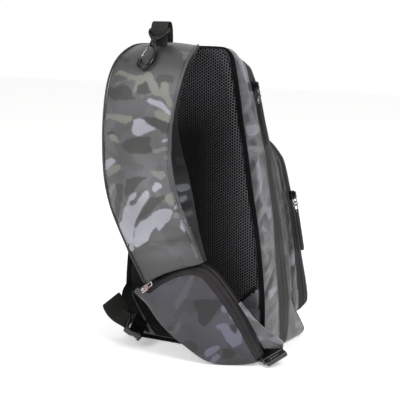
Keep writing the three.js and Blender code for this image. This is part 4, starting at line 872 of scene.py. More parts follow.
def band(
    name: str, rows: Sequence[tuple[Vector, Vector]], width: float, thickness: float
) -> bpy.types.Object:
    """Makes a flat strap along a path.

    Args:
        name: The piece's name.
        rows: The middle of the strap and the direction of its width at each row.
        width: The strap's width in metres.
        thickness: Its thickness in metres.

    Returns:
        The new piece, at the origin.
    """
    work = bmesh.new()
    rings = []
    steps = (-1, -0.5, 0, 0.5, 1)
    section = [(across, 1) for across in steps] + [(across, -1) for across in reversed(steps)]
    for i, (middle, wide) in enumerate(rows):
        ahead = (rows[min(i + 1, len(rows) - 1)][0] - rows[max(i - 1, 0)][0]).normalized()
        side = wide.normalized()
        up = ahead.cross(side).normalized()
        ring = []
        for across, out in section:
            where = middle + side * (across * width / 2) + up * (out * thickness / 2)
            ring.append(work.verts.new(where))
        rings.append(ring)
    for first, second in zip(rings, rings[1:]):
        for i in range(len(section)):
            after = (i + 1) % len(section)
            work.faces.new((first[i], first[after], second[after], second[i]))
    work.faces.new(rings[0][::-1])
    work.faces.new(rings[-1])
    bmesh.ops.recalc_face_normals(work, faces=work.faces)
    creases = work.edges.layers.float.new("crease_edge")
    for edge in work.edges:
        if len(edge.link_faces) == 2 and edge.calc_face_angle(0) > math.radians(60):
            edge[creases] = 0.75
    mesh = bpy.data.meshes.new(name)
    work.to_mesh(mesh)
    work.free()
    piece = bpy.data.objects.new(name, mesh)
    bpy.context.scene.collection.objects.link(piece)
    divide = piece.modifiers.new("divide", "SUBSURF")
    divide.levels = divide.render_levels = 3
    return bake(piece)


class Belt:
    """A wall that runs round the bag: its own coordinates round it and across it."""

    def __init__(self, mesh: bpy.types.Mesh, bins: int = 180) -> None:
        """Measures the wall's two edges by direction from the middle.

        Args:
            mesh: The wall.
            bins: How many directions are measured.
        """
        self.tree = BVHTree.FromPolygons(
            [v.co for v in mesh.vertices], [tuple(face.vertices) for face in mesh.polygons]
        )
        points = coordinates(mesh)
        angle = self.angle(points)
        edges = np.linspace(-math.pi, math.pi, bins + 1)
        self.centres = (edges[:-1] + edges[1:]) / 2
        self.low = np.full(bins, np.nan)
        self.high = np.full(bins, np.nan)
        which = np.clip(np.digitize(angle, edges) - 1, 0, bins - 1)
        for i in range(bins):
            depth = points[which == i, 1]
            if len(depth) > 3:
                self.low[i] = depth.min()
                self.high[i] = depth.max()
        for values in (self.low, self.high):
            known = ~np.isnan(values)
            values[:] = np.interp(self.centres, self.centres[known], values[known])

    @staticmethod
    def angle(points: np.ndarray) -> np.ndarray:
        """Returns the direction of each point from the bag's middle, seen from the front."""
        return np.arctan2(points[:, 2] - BELT_CENTRE[1], points[:, 0] - BELT_CENTRE[0])

    def share(self, points: np.ndarray) -> np.ndarray:
        """Returns each point's place across the wall, 0 at its rear edge and 1 at its front edge."""
        angle = self.angle(points)
        low = np.interp(angle, self.centres, self.low)
        high = np.interp(angle, self.centres, self.high)
        return np.clip((points[:, 1] - low) / np.maximum(high - low, 1e-6), 0, 1)

    def outward(self, points: np.ndarray, facing: np.ndarray) -> np.ndarray:
        """Returns the direction out of the bag at each point, level with the back."""
        radial = points - np.array([BELT_CENTRE[0], 0, BELT_CENTRE[1]])
        radial[:, 1] = 0
        radial /= np.maximum(np.linalg.norm(radial, axis=1, keepdims=True), 1e-6)
        flat = facing.copy()
        flat[:, 1] = 0
        size = np.linalg.norm(flat, axis=1, keepdims=True)
        flat = np.where(size > 0.5, flat / np.maximum(size, 1e-6), radial)
        away = np.sum(flat * radial, axis=1, keepdims=True)
        return np.where(away < 0, -flat, flat)

    def path(self, share: float, lift: float, start: float, end: float, count: int) -> list[Vector]:
        """Returns points along the wall's outer face.

        Args:
            share: Place across the wall.
            lift: Distance off the face in metres.
            start: First direction in degrees.
            end: Last direction in degrees.
            count: How many steps.

        Returns:
            The points that a ray from outside finds on the face, in order.
        """
        found = []
        for i in range(count + 1):
            angle = math.radians(start + (end - start) * i / count)
            wrapped = (angle + math.pi) % (2 * math.pi) - math.pi
            low = np.interp(wrapped, self.centres, self.low)
            high = np.interp(wrapped, self.centres, self.high)
            way = Vector((math.cos(angle), 0, math.sin(angle)))
            middle = Vector((BELT_CENTRE[0], low + share * (high - low), BELT_CENTRE[1]))
            hit, _, _, _ = self.tree.ray_cast(middle + way * 0.6, -way)
            if hit is not None:
                found.append(hit + way * lift)
        return found


class StrapLine:
    """The strap's middle line and its directions, by row."""

    # The strap's middle as shares of half the width, the reach and the height, its width, turn and tilt
    ROWS = (
        (0, -0.15, 0.021, 1.0, 0.5, 0, 0),
        (1, -0.125, 0.308, 1.004, 0.79, 0, 0),
        (2, -0.04, 0.565, 0.998, 0.91, 1, 0),
        (3, -0.025, 0.781, 0.964, 0.99, 1, 0),
        (4, -0.05, 0.9, 0.9, 1.01, 1, 0),
        (5, -0.08, 0.973, 0.801, 0.96, 1, 0),
        (6, -0.1, 0.988, 0.7, 0.92, 2, 2),
        (7, -0.1, 0.954, 0.603, 0.93, 3, 3),
        (8, -0.065, 0.892, 0.52, 0.94, 4, 5),
        (9, 0.003, 0.831, 0.449, 0.92, 5, 8),
        (10, 0.097, 0.785, 0.38, 0.89, 7, 14),
        (11, 0.207, 0.735, 0.281, 0.96, 9, 22),
        (12, 0.336, 0.677, 0.227, 0.973, 10, 22),
        (13, 0.437, 0.619, 0.181, 0.978, 12, 21),
        (14, 0.563, 0.554, 0.13, 0.926, 14, 19),
        (15, 0.723, 0.473, 0.072, 0.791, 19, 16),
        (16, 0.892, 0.385, 0.015, 0.638, 24, 11),
    )

    def __init__(self, count: int = 480) -> None:
        """Lays the line out in even steps of row."""
        table = np.array(self.ROWS, float)
        self.rows = np.linspace(0, 16, count)
        column = [self._curve(table[:, 0], table[:, i]) for i in range(1, 7)]
        self.centre = np.stack([
            BODY_HALF * column[0], BACK_Y - 0.13 * column[1], BODY_HEIGHT * column[2]
        ], axis=1)
        self.half = 0.055 * column[3]
        yaw = np.radians(column[4])
        roll = np.radians(column[5])
        self.across = np.stack([np.cos(roll) * np.cos(yaw), np.cos(roll) * np.sin(yaw), np.sin(roll)], axis=1)
        ahead = np.gradient(self.centre, axis=0)
        self.ahead = ahead / np.linalg.norm(ahead, axis=1, keepdims=True)
        outward = np.cross(self.ahead, self.across)
        self.outward = outward / np.linalg.norm(outward, axis=1, keepdims=True)

    def _curve(self, keys: np.ndarray, values: np.ndarray) -> np.ndarray:
        """Reads a smooth curve through a table's column at every row of the line."""
        slope = np.gradient(values, keys)
        index = np.clip(np.searchsorted(keys, self.rows, side="right") - 1, 0, len(keys) - 2)
        gap = keys[index + 1] - keys[index]
        s = (self.rows - keys[index]) / gap
        start = (2 * s**3 - 3 * s**2 + 1) * values[index] + (s**3 - 2 * s**2 + s) * gap * slope[index]
        end = (3 * s**2 - 2 * s**3) * values[index + 1] + (s**3 - s**2) * gap * slope[index + 1]
        return start + end

    def locate(self, points: np.ndarray) -> tuple[np.ndarray, np.ndarray, np.ndarray]:
        """Finds points on the strap.

        Args:
            points: Points near the strap.

        Returns:
            The row, the side as a share of half the width, and the height off the face, of each point.
        """
        row = np.empty(len(points))
        side = np.empty(len(points))
        off = np.empty(len(points))
        for start in range(0, len(points), 4000):
            some = points[start:start + 4000]
            away = some[:, None, :] - self.centre[None, :, :]
            along = np.einsum("ijk,jk->ij", away, self.ahead)
            flat = np.linalg.norm(away, axis=2)
            cost = np.abs(along) + 0.15 * flat
            best = np.argmin(cost, axis=1)
            picked = away[np.arange(len(some)), best]
            row[start:start + 4000] = self.rows[best]
            side[start:start + 4000] = np.sum(picked * self.across[best], axis=1) / self.half[best]
            off[start:start + 4000] = np.sum(picked * self.outward[best], axis=1)
        return row, side, off

    def point(self, row: float, side: float, out: float) -> Vector:
        """Returns a point at a row and side, out from the face in metres."""
        at = [np.interp(row, self.rows, self.centre[:, i]) for i in range(3)]
        across = [np.interp(row, self.rows, self.across[:, i]) for i in range(3)]
        outward = [np.interp(row, self.rows, self.outward[:, i]) for i in range(3)]
        half = np.interp(row, self.rows, self.half)
        return Vector(at) + Vector(across) * (half * side) + Vector(outward) * out


class Repeats:
    """Rows of like things along a line, laid by Geometry Nodes: stitches and zip teeth."""

    def __init__(self, wardrobe: Wardrobe) -> None:
        """Keeps the wardrobe and builds the one node group."""
        self.wardrobe = wardrobe
        self.group = self._group()

    @staticmethod
    def _group() -> bpy.types.NodeTree:
        """Returns a group that sets rounded bars along curves, a given distance apart."""
        tree = bpy.data.node_groups.new("bars_along_a_line", "GeometryNodeTree")
        for name, kind in (
            ("Geometry", "Geometry"), ("Spacing", "Float"), ("Length", "Float"), ("Width", "Float"),
            ("Material", "Material"),
        ):
            tree.interface.new_socket(name=name, in_out="INPUT", socket_type="NodeSocket" + kind)
        tree.interface.new_socket(name="Geometry", in_out="OUTPUT", socket_type="NodeSocketGeometry")
        graph = Graph(tree)
        given = graph.node("NodeGroupInput").outputs
        points = graph.node(
            "GeometryNodeCurveToPoints", {"Curve": given["Geometry"], "Length": given["Spacing"]},
            mode="LENGTH",
        )
        ball = graph.node("GeometryNodeMeshUVSphere", {"Segments": 6, "Rings": 4, "Radius": 0.5})
        size = graph.node("CombineXYZ", {0: given["Width"], 1: given["Length"], 2: given["Width"]})
        sized = graph.node("GeometryNodeTransform", {"Geometry": ball.outputs[0], "Scale": size.outputs[0]})
        aligned = graph.node(
            "FunctionNodeAlignEulerToVector", {"Vector": points.outputs["Tangent"]},
            axis="Y", pivot_axis="AUTO",
        )
        placed = graph.node("GeometryNodeInstanceOnPoints", {
            "Points": points.outputs["Points"], "Instance": sized.outputs[0], "Rotation": aligned.outputs[0],
        })
        real = graph.node("GeometryNodeRealizeInstances", {0: placed.outputs[0]})
        clad = graph.node(
            "GeometryNodeSetMaterial", {"Geometry": real.outputs[0], "Material": given["Material"]}
        )
        end = graph.node("NodeGroupOutput")
        tree.links.new(clad.outputs[0], end.inputs[0])
        return tree

    def along(
        self, name: str, lines: Sequence[Sequence[Vector]], finish: PlainFinish, slot: str, bars: Bars
    ) -> bpy.types.Object:
        """Lays bars along lines and makes them one mesh piece.

        Args:
            name: The piece's name.
            lines: Lines of points.
            finish: The bars' finish.
            slot: The record's material slot; not used.
            bars: The bars' sizes and spacing.

        Returns:
            The new piece.
        """
        curve = bpy.data.curves.new(name, "CURVE")
        curve.dimensions = "3D"
        for line in lines:
            spline = curve.splines.new("POLY")
            spline.points.add(len(line) - 1)
            for point, where in zip(spline.points, line):
                point.co = (*where, 1.0)
        piece = bpy.data.objects.new(name + "_line", curve)
        bpy.context.scene.collection.objects.link(piece)
        laid = piece.modifiers.new("bars", "NODES")
        laid.node_group = self.group
        values = {
            "Spacing": bars.spacing, "Length": bars.length, "Width": bars.width,
            "Material": self.wardrobe.get(finish),
        }
        for item in self.group.interface.items_tree:
            if item.in_out == "INPUT" and item.name in values:
                laid[item.identifier] = values[item.name]
        graph = bpy.context.evaluated_depsgraph_get()
        graph.update()
        mesh = bpy.data.meshes.new_from_object(piece.evaluated_get(graph), depsgraph=graph)
        bpy.data.objects.remove(piece)
        bpy.data.curves.remove(curve)
        mesh.name = name
        mesh.shade_smooth()
        made = bpy.data.objects.new(name, mesh)
        bpy.context.scene.collection.objects.link(made)
        dress(made, self.wardrobe.get(finish), "bag", slot)
        return made


@dataclass
class BagBody:
    """The teardrop body: back, gussets, main zip, base and front."""

    wardrobe: Wardrobe
    repeats: Repeats
    levels: int = 3
    wrinkle: float = 1.1 * MM
    zip_lip: float = 0.7 * MM
    zip_groove: float = 0.9 * MM
    # Where the cloth at the pad's lower right corner begins, as two places across and up
    corner: tuple[tuple[float, float], ...] = ((0.1152, 0.112), (0.0837, 0.081))

    def build(self) -> None:
        """Builds every piece of the body."""
        self._rear_gusset()
        self.zip_band("main_zipper", "main_zip", -35.0, 215.0)
        self._front_gusset()
        self._panels()
        self._pad()
        self._binding()

    def camouflaged(
        self, piece: bpy.types.Object, finish: ClothFinish, slot: str, node: str, shade: float = 1.0
    ) -> None:
        """Gives a piece a camouflage from noise and dresses it.

        Args:
            piece: The piece.
            finish: Its cloth.
            slot: The record's material slot; not used.
            node: The solid that it stands for.
            shade: How light the cloth is, 1 as its finish says.
        """
        points = coordinates(piece.data)
        tint_sheen_and_shade = np.zeros((len(points), 3))
        tint_sheen_and_shade[:, 0] = np.clip(0.05 + 0.3 * noise_field(points, 0.09, 5.0), 0, 1)
        tint_sheen_and_shade[:, 1] = shade
        set_chart(piece.data, chart_by_noise(points), tint_sheen_and_shade)
        dress(piece, self.wardrobe.get(finish), "bag", slot, node)

    def _rear_gusset(self) -> None:
        """Builds the side wall with its folds, painted sheen and shade, and placed blotches."""
        piece = finer("rear_gusset", "side_wall_cloth", self.levels)
        belt = Belt(piece.data)
        points = coordinates(piece.data)
        share = belt.share(points)
        out = belt.outward(points, normals(piece.data))
        height = points[:, 2] / BODY_HEIGHT
        inside = np.sin(np.pi * share) ** 0.7
        slow = noise_field(points * np.array([1.0, 1.0, 1.6]), 0.028, 2.2)
        slow = 1.5 * slow + 0.5 * noise_field(points * np.array([1.0, 1.0, 2.0]), 0.012, 4.4)
        fold = np.zeros(len(points))
        for z, spread, depth, slant in SIDE_FOLDS:
            away = (height - z - slant * (share - 0.4)) / spread
            fold += depth * np.exp(-away * away) * np.exp(-((share - 0.35) / 0.4) ** 2)
        ridge = 1.3 * np.exp(-((share - 0.48) / 0.14) ** 2) * np.clip((height - 0.45) / 0.1, 0, 1)
        clear = np.clip(points[:, 2] / 0.02, 0, 1)
        move = (slow * self.wrinkle + (fold + ridge) * MM) * inside * clear
        place(piece.data, points + out * move[:, None])
        chart = np.maximum(
            chart_by_hand(height, share, SIDE_CHART, (425, 60)) * (points[:, 0] > 0)[:, None],
            chart_by_noise(points) * np.where(points[:, 0] > 0, 0.55, 1.0)[:, None],
        )
        tint_sheen_and_shade = np.zeros((len(points), 3))
        # Painted sheen: the crest of the wall is mixed toward the pale tone in slow patches, from a fifth of
        # its height up.
        shine = np.clip(noise_field(points * np.array([1.0, 1.0, 0.5]), 0.03, 8.8) + 0.15, 0, 1)
        crest = np.exp(-((share - 0.42) / 0.2) ** 2)
        tint_sheen_and_shade[:, 0] = (0.3 + 0.7 * shine) * crest * np.clip((height - 0.2) / 0.3, 0, 0.8)
        # Painted shade: darker toward the rear seam by the back, and unevenly lighter and darker.
        rear = np.clip((0.25 - share) / 0.2, 0, 1)
        tint_sheen_and_shade[:, 1] = 1.05 - 0.35 * rear + 0.15 * noise_field(points, 0.035, 3.6)
        set_chart(piece.data, chart, tint_sheen_and_shade)
        dress(piece, self.wardrobe.get(SIDE_CAMOUFLAGE), "bag", "camouflage_cloth", "rear_gusset")
        seams = [belt.path(0.93, 0.1 * MM, -60, 240, 260)]
        self.repeats.along("side_wall_stitches", seams, THREAD, "camouflage_cloth", WALL_STITCH)

    def zip_band(
        self, node: str, name: str, start: float, end: float, cloth: float = 0.0,
        finish: PlainFinish = ZIP_TAPE,
    ) -> None:
        """Builds a zip band: two lips, a groove between them, and teeth in the groove.

        Args:
            node: The band's solid.
            name: The start of its pieces' names.
            start: Direction of its first end in degrees.
            end: Direction of its last end in degrees.
            cloth: Share of the band, at its rear, that is cloth and not tape.
            finish: The tape's finish.
        """
        piece = finer(node, name + "_tape", self.levels)
        belt = Belt(piece.data)
        points = coordinates(piece.data)
        share = belt.share(points)
        out = belt.outward(points, normals(piece.data))
        tape = (share - cloth) / (1 - cloth)
        lips = np.exp(-((tape - 0.39) / 0.07) ** 2) + np.exp(-((tape - 0.61) / 0.07) ** 2)
        groove = np.exp(-((tape - 0.5) / 0.045) ** 2)
        seam = np.exp(-((tape - 0.14) / 0.04) ** 2) + np.exp(-((tape - 0.86) / 0.04) ** 2)
        move = self.zip_lip * lips - self.zip_groove * groove - 0.5 * MM * seam
        if cloth > 0:
            rear = np.sin(np.pi * np.clip(share / cloth, 0, 1))
            folds = noise_field(points * np.array([1.0, 1.0, 1.5]), 0.022, 6.3)
            move = move + rear * (1.5 * MM * folds + 1.0 * MM)
        place(piece.data, points + out * move[:, None])
        dress(piece, self.wardrobe.get(finish), "bag", "zip_tape", node)
        if cloth > 0:
            tint_sheen_and_shade = np.zeros((len(points), 3))
            # Painted highlights: patches mixed toward the pale tone stand for glints on the glossy rear
            # cloth.
            glints = noise_field(points * np.array([1.0, 1.0, 0.8]), 0.028, 2.9)
            tint_sheen_and_shade[:, 0] = np.clip(1.3 * glints - 0.1, 0, 1)
            tint_sheen_and_shade[:, 1] = 1.0
            set_chart(piece.data, chart_by_noise(points, 0.03), tint_sheen_and_shade)
            patch_material(piece, self.wardrobe.get(GLOSSY_CAMOUFLAGE), share < cloth)
        at = [cloth + part * (1 - cloth) for part in (0.5, 0.2, 0.8)]
        teeth = [belt.path(at[0], -0.35 * MM, start, end, 420)]
        self.repeats.along(name + "_teeth", teeth, ZIP_COIL, "zip_tape", ZIP_TOOTH)
        seams = [belt.path(at[1], 0.05 * MM, start, end, 300), belt.path(at[2], 0.05 * MM, start, end, 300)]
        self.repeats.along(name + "_stitches", seams, THREAD, "zip_tape", ZIP_STITCH)

    def _front_gusset(self) -> None:
        """Builds the narrow front side wall."""
        piece = finer("front_gusset", "front_side_cloth", self.levels)
        belt = Belt(piece.data)
        points = coordinates(piece.data)
        inside = np.sin(np.pi * belt.share(points)) ** 0.7
        clear = np.clip(points[:, 2] / 0.02, 0, 1)
        out = belt.outward(points, normals(piece.data))
        move = noise_field(points, 0.028, 4.1) * self.wrinkle * inside * clear
        place(piece.data, points + out * move[:, None])
        self.camouflaged(piece, SIDE_CAMOUFLAGE, "camouflage_cloth", "front_gusset", 0.65)

    def _panels(self) -> None:
        """Builds the back wall, the front wall and the base."""
        for node, name, finish, slot in (
            ("back_wall", "back_cloth", SIDE_CAMOUFLAGE, "camouflage_cloth"),
            ("front_wall", "front_cloth", DARK_CAMOUFLAGE, "dark_camouflage_cloth"),
            ("base_panel", "base_cloth", DARK_CAMOUFLAGE, "dark_camouflage_cloth"),
        ):
            piece = finer(node, name, self.levels)
            points = coordinates(piece.data)
            if node == "front_wall":
                edge = np.clip((BODY_HALF * 0.95 - np.abs(points[:, 0])) / 0.02, 0, 1)
                edge *= np.clip(points[:, 2] / 0.03, 0, 1)
                points[:, 1] += noise_field(points, 0.04, 6.0) * 0.8 * MM * edge
                place(piece.data, points)
            self.camouflaged(piece, finish, slot, node)

    def _pad(self) -> None:
        """Builds the padded air mesh with a quilted edge and a cloth corner, with painted shade on the mesh's
        left and lower part.
        """
        piece = finer("back_pad", "back_air_mesh", self.levels)
        points = coordinates(piece.data)
        rise = np.clip((BACK_Y - 0.001 - points[:, 1]) / 0.008, 0, 1)
        slow = noise_field(points, 0.05, 9.0) * 0.9 + noise_field(points, 0.018, 1.0) * 0.25
        points[:, 1] -= slow * MM * rise
        start, end = Vector(self.corner[0]), Vector(self.corner[1])
        way = (end - start).normalized()
        beyond = (points[:, 2] - start.y) * way.x - (points[:, 0] - start.x) * way.y
        points[:, 1] += 3 * MM * np.clip(beyond / 0.004, 0, 1) * rise
        place(piece.data, points)
        # Painted shade: the mesh is darker on its left below the strap's top and towards the bottom, where
        # the strap shades it.
        left = np.clip((0.09 - points[:, 0]) / 0.08, 0, 1)
        painted_shade = 1.1 - left * np.clip((0.375 - points[:, 2]) / 0.07, 0, 1)
        painted_shade *= 1 - 0.3 * np.clip((0.2 - points[:, 2]) / 0.1, 0, 1)
        layer = piece.data.attributes.new("painted_shade", "FLOAT", "POINT")
        layer.data.foreach_set("value", np.clip(painted_shade, 0.1, 1.2).astype(np.float32))
        # Painted sheen on the upper part of the cloth corner, and the corner a little darker overall.
        tint_sheen_and_shade = np.zeros((len(points), 3))
        tint_sheen_and_shade[:, 0] = 0.5 * np.clip((points[:, 2] - 0.07) / 0.03, 0, 1)
        tint_sheen_and_shade[:, 1] = 0.9
        set_chart(piece.data, chart_by_noise(points, 0.03), tint_sheen_and_shade)
        dress(piece, self.wardrobe.get(AIR_MESH), "bag", "mesh_cloth", "back_pad")
        patch_material(piece, self.wardrobe.get(SIDE_CAMOUFLAGE), beyond > 0.001)
        tree = BVHTree.FromPolygons(
            [v.co for v in piece.data.vertices], [tuple(face.vertices) for face in piece.data.polygons]
        )
        seam = []
        for i in range(31):
            spot = start + (end - start) * (i / 30 * 1.5 - 0.1)
            hit, normal, _, _ = tree.ray_cast(Vector((spot.x, BACK_Y - 0.06, spot.y)), Vector((0, 1, 0)))
            if hit is not None and normal.y < -0.5:
                seam.append((hit - Vector((0, 0.6 * MM, 0)), Vector((-way.y, 0, way.x))))
        tape = band("pad_corner_seam", seam, 5 * MM, 1.4 * MM)
        dress(tape, self.wardrobe.get(BINDING), "bag", "binding_tape")

    def _binding(self) -> None:
        """Builds the tape round the back's edge, with its stitches."""
        piece = finer("back_binding", "back_edge_binding", 2)
        dress(piece, self.wardrobe.get(BINDING), "bag", "binding_tape", "back_binding")
        outline = []
        points = coordinates(piece.data)
        angle = Belt.angle(points)
        for i in range(241):
            at = -math.pi + 2 * math.pi * i / 240
            near = np.abs(angle - at) < 0.04
            if near.any():
                middle = points[near].mean(axis=0)
                outline.append(Vector((middle[0], points[near, 1].min() - 0.1 * MM, middle[2])))
        self.repeats.along("binding_stitches", [outline], DARK_THREAD, "binding_tape", ZIP_STITCH)


@dataclass
class FrontPocket:
    """The large zipped pocket on the front."""

    wardrobe: Wardrobe
    body: BagBody
    levels: int = 3
    wrinkle: float = 1.2 * MM
    rear_cloth: float = 0.36

    def build(self) -> None:
        """Builds the pocket's gusset, zip band and face."""
        gusset = finer("pocket_gusset", "pocket_side_cloth", self.levels)
        points = coordinates(gusset.data)
        belt = Belt(gusset.data)
        out = belt.outward(points, normals(gusset.data))
        inside = np.sin(np.pi * belt.share(points)) ** 0.7
        place(gusset.data, points + out * (noise_field(points, 0.02, 8.0) * self.wrinkle * inside)[:, None])
        self.body.camouflaged(gusset, GLOSSY_CAMOUFLAGE, "dark_camouflage_cloth", "pocket_gusset")
        self.body.zip_band("pocket_zipper", "pocket_zip", -60.0, 240.0, self.rear_cloth, DARK_ZIP_TAPE)
        face = finer("pocket_face", "pocket_face_cloth", self.levels)
        points = coordinates(face.data)
        edge = np.clip((0.1 - np.abs(points[:, 0])) / 0.02, 0, 1)
        edge *= np.clip((points[:, 2] - 0.034) / 0.015, 0, 1) * np.clip((0.296 - points[:, 2]) / 0.015, 0, 1)
        folds = noise_field(points * np.array([1.0, 1.0, 0.6]), 0.035, 3.0)
        points[:, 1] += folds * self.wrinkle * edge
        place(face.data, points)
        self.body.camouflaged(face, SIDE_CAMOUFLAGE, "camouflage_cloth", "pocket_face")


@dataclass
class ShoulderStrap:
    """The wide padded strap, its piping and the tongue that runs past the pouch."""

    wardrobe: Wardrobe
    repeats: Repeats
    line: StrapLine
    wrinkle: float = 0.9 * MM

    def build(self) -> None:
        """Builds the strap, its piping and its tongue."""
        piece = finer("strap_band", "strap_cloth", 3)
        points = coordinates(piece.data)
        row, side, off = self.line.locate(points)
        facing = normals(piece.data)
        outer = np.clip((off + 0.006) / 0.006, 0, 1)
        inside = np.clip((1 - np.abs(side)) / 0.12, 0, 1) * outer
        slow = noise_field(points * np.array([1.0, 1.0, 0.8]), 0.03, 5.5) * self.wrinkle
        fold = np.zeros(len(points))
        for at, where, slope, spread, depth in STRAP_FOLDS:
            away = (side - where - (row - at) / (slope * 2.0)) / spread
            fold += depth * MM * np.exp(-away * away) * np.exp(-((row - at) / 0.7) ** 2)
        seam = -0.4 * MM * np.exp(-((np.abs(side) - 0.94) / 0.02) ** 2) * outer
        place(piece.data, points + facing * ((slow + fold) * inside + seam)[:, None])
        chart = chart_by_hand(row, side, STRAP_CHART, (38, 55))
        lining = np.clip(-(off + 0.0015) / 0.003, 0, 1)
        wall = chart_by_hand(row, off * 1000, WALL_CHART, (38, 1))
        chart = chart * (1 - lining)[:, None] + wall * lining[:, None]
        tint_sheen_and_shade = np.zeros((len(points), 3))
        # Painted sheen: the strap's middle rows are mixed toward the pale tone in slow patches, with a
        # lighter spot near row 10.15.
        sheen = noise_field(points * np.array([1.0, 1.0, 0.7]), 0.055, 4.7)
        middle = np.clip((row - 3.6) / 1.2, 0, 1) * np.clip((9.8 - row) / 0.3, 0, 1)
        tint_sheen_and_shade[:, 0] = np.clip(0.14 + 0.3 * sheen, 0, 1) * middle
        tint_sheen_and_shade[:, 0] += 0.28 * np.exp(-((row - 10.15) / 0.28) ** 2) * np.exp(-((side - 0.1) / 0.6) ** 2)
        # Painted sheen and shade in slow patches; the colour is also darker at the top rows and below row
        # 9.7.
        shade = 1.05 + 0.3 * noise_field(points, 0.045, 7.3) - 0.3 * np.clip((row - 9.7) / 0.15, 0, 1)
        shade -= 0.42 * np.clip((3.7 - row) / 0.7, 0, 1)
        # Painted shade on the strap's thickness: it is darker than the face, most above row 6.6, partly its
        # own dark colour and partly painted shade.
        painted_wall_shade = 0.85 - 0.45 * np.clip((row - 6.6) / 1.2, 0, 1)
        tint_sheen_and_shade[:, 0] *= 1 - lining
        tint_sheen_and_shade[:, 1] = shade * (1 - painted_wall_shade * lining)
        set_chart(piece.data, chart, tint_sheen_and_shade)
        across = piece.data.attributes.new("across", "FLOAT", "POINT")
        across.data.foreach_set("value", (side * 0.055).astype(np.float32))
        dress(piece, self.wardrobe.get(CAMOUFLAGE), "bag", "camouflage_cloth", "strap_band")
        patch_material(piece, self.wardrobe.get(WALL_CAMOUFLAGE), off < -0.003)
        for node, finish in (("strap_piping_right", PIPING), ("strap_piping_left", DARK_PIPING)):
            trim = finer(node, node + "_cord", 2, Shape.ROUND)
            self._tuck(trim)
            dress(trim, self.wardrobe.get(finish), "bag", "piping", node)
        tongue = finer("strap_tip", "strap_tongue_cloth", 3)
        places = coordinates(tongue.data)
        tint_sheen_and_shade = np.zeros((len(places), 3))
        tint_sheen_and_shade[:, 0] = np.clip(0.8 * noise_field(places, 0.02, 1.9), 0, 1)
        tint_sheen_and_shade[:, 1] = 0.85
        creases = noise_field(places * np.array([1.0, 1.0, 1.4]), 0.016, 9.1) * 0.9 * MM
        creases *= np.clip(places[:, 2] / 0.02, 0, 1)
        place(tongue.data, places + normals(tongue.data) * creases[:, None])
        set_chart(tongue.data, chart_by_noise(places, 0.03), tint_sheen_and_shade)
        dress(tongue, self.wardrobe.get(SIDE_CAMOUFLAGE), "bag", "webbing", "strap_tip")
        tree = BVHTree.FromPolygons(
            [v.co for v in piece.data.vertices], [tuple(face.vertices) for face in piece.data.polygons]
        )
        seams = []
        for side_at in (-0.94, 0.94):
            run = []
            for i in range(220):
                at = 0.6 + i * 9.3 / 219
                start = self.line.point(at, side_at, 0.02)
                way = self.line.point(at, side_at, 0.0) - start
                hit, normal, _, _ = tree.ray_cast(start, way.normalized())
                if hit is not None:
                    run.append(hit + normal * 0.1 * MM)
            seams.append(run)
        self.repeats.along("strap_stitches", seams, DARK_THREAD, "camouflage_cloth", STRAP_STITCH)


    def _tuck(self, trim: bpy.types.Object) -> None:
        """Makes a piping a little thicker and moves it against the strap's edge."""
        points = coordinates(trim.data)
        row, side, _ = self.line.locate(points)
        across = np.stack([np.interp(row, self.line.rows, self.line.across[:, i]) for i in range(3)], axis=1)
        moved = points + normals(trim.data) * 0.5 * MM - across * np.sign(side)[:, None] * 1.2 * MM
        place(trim.data, moved)


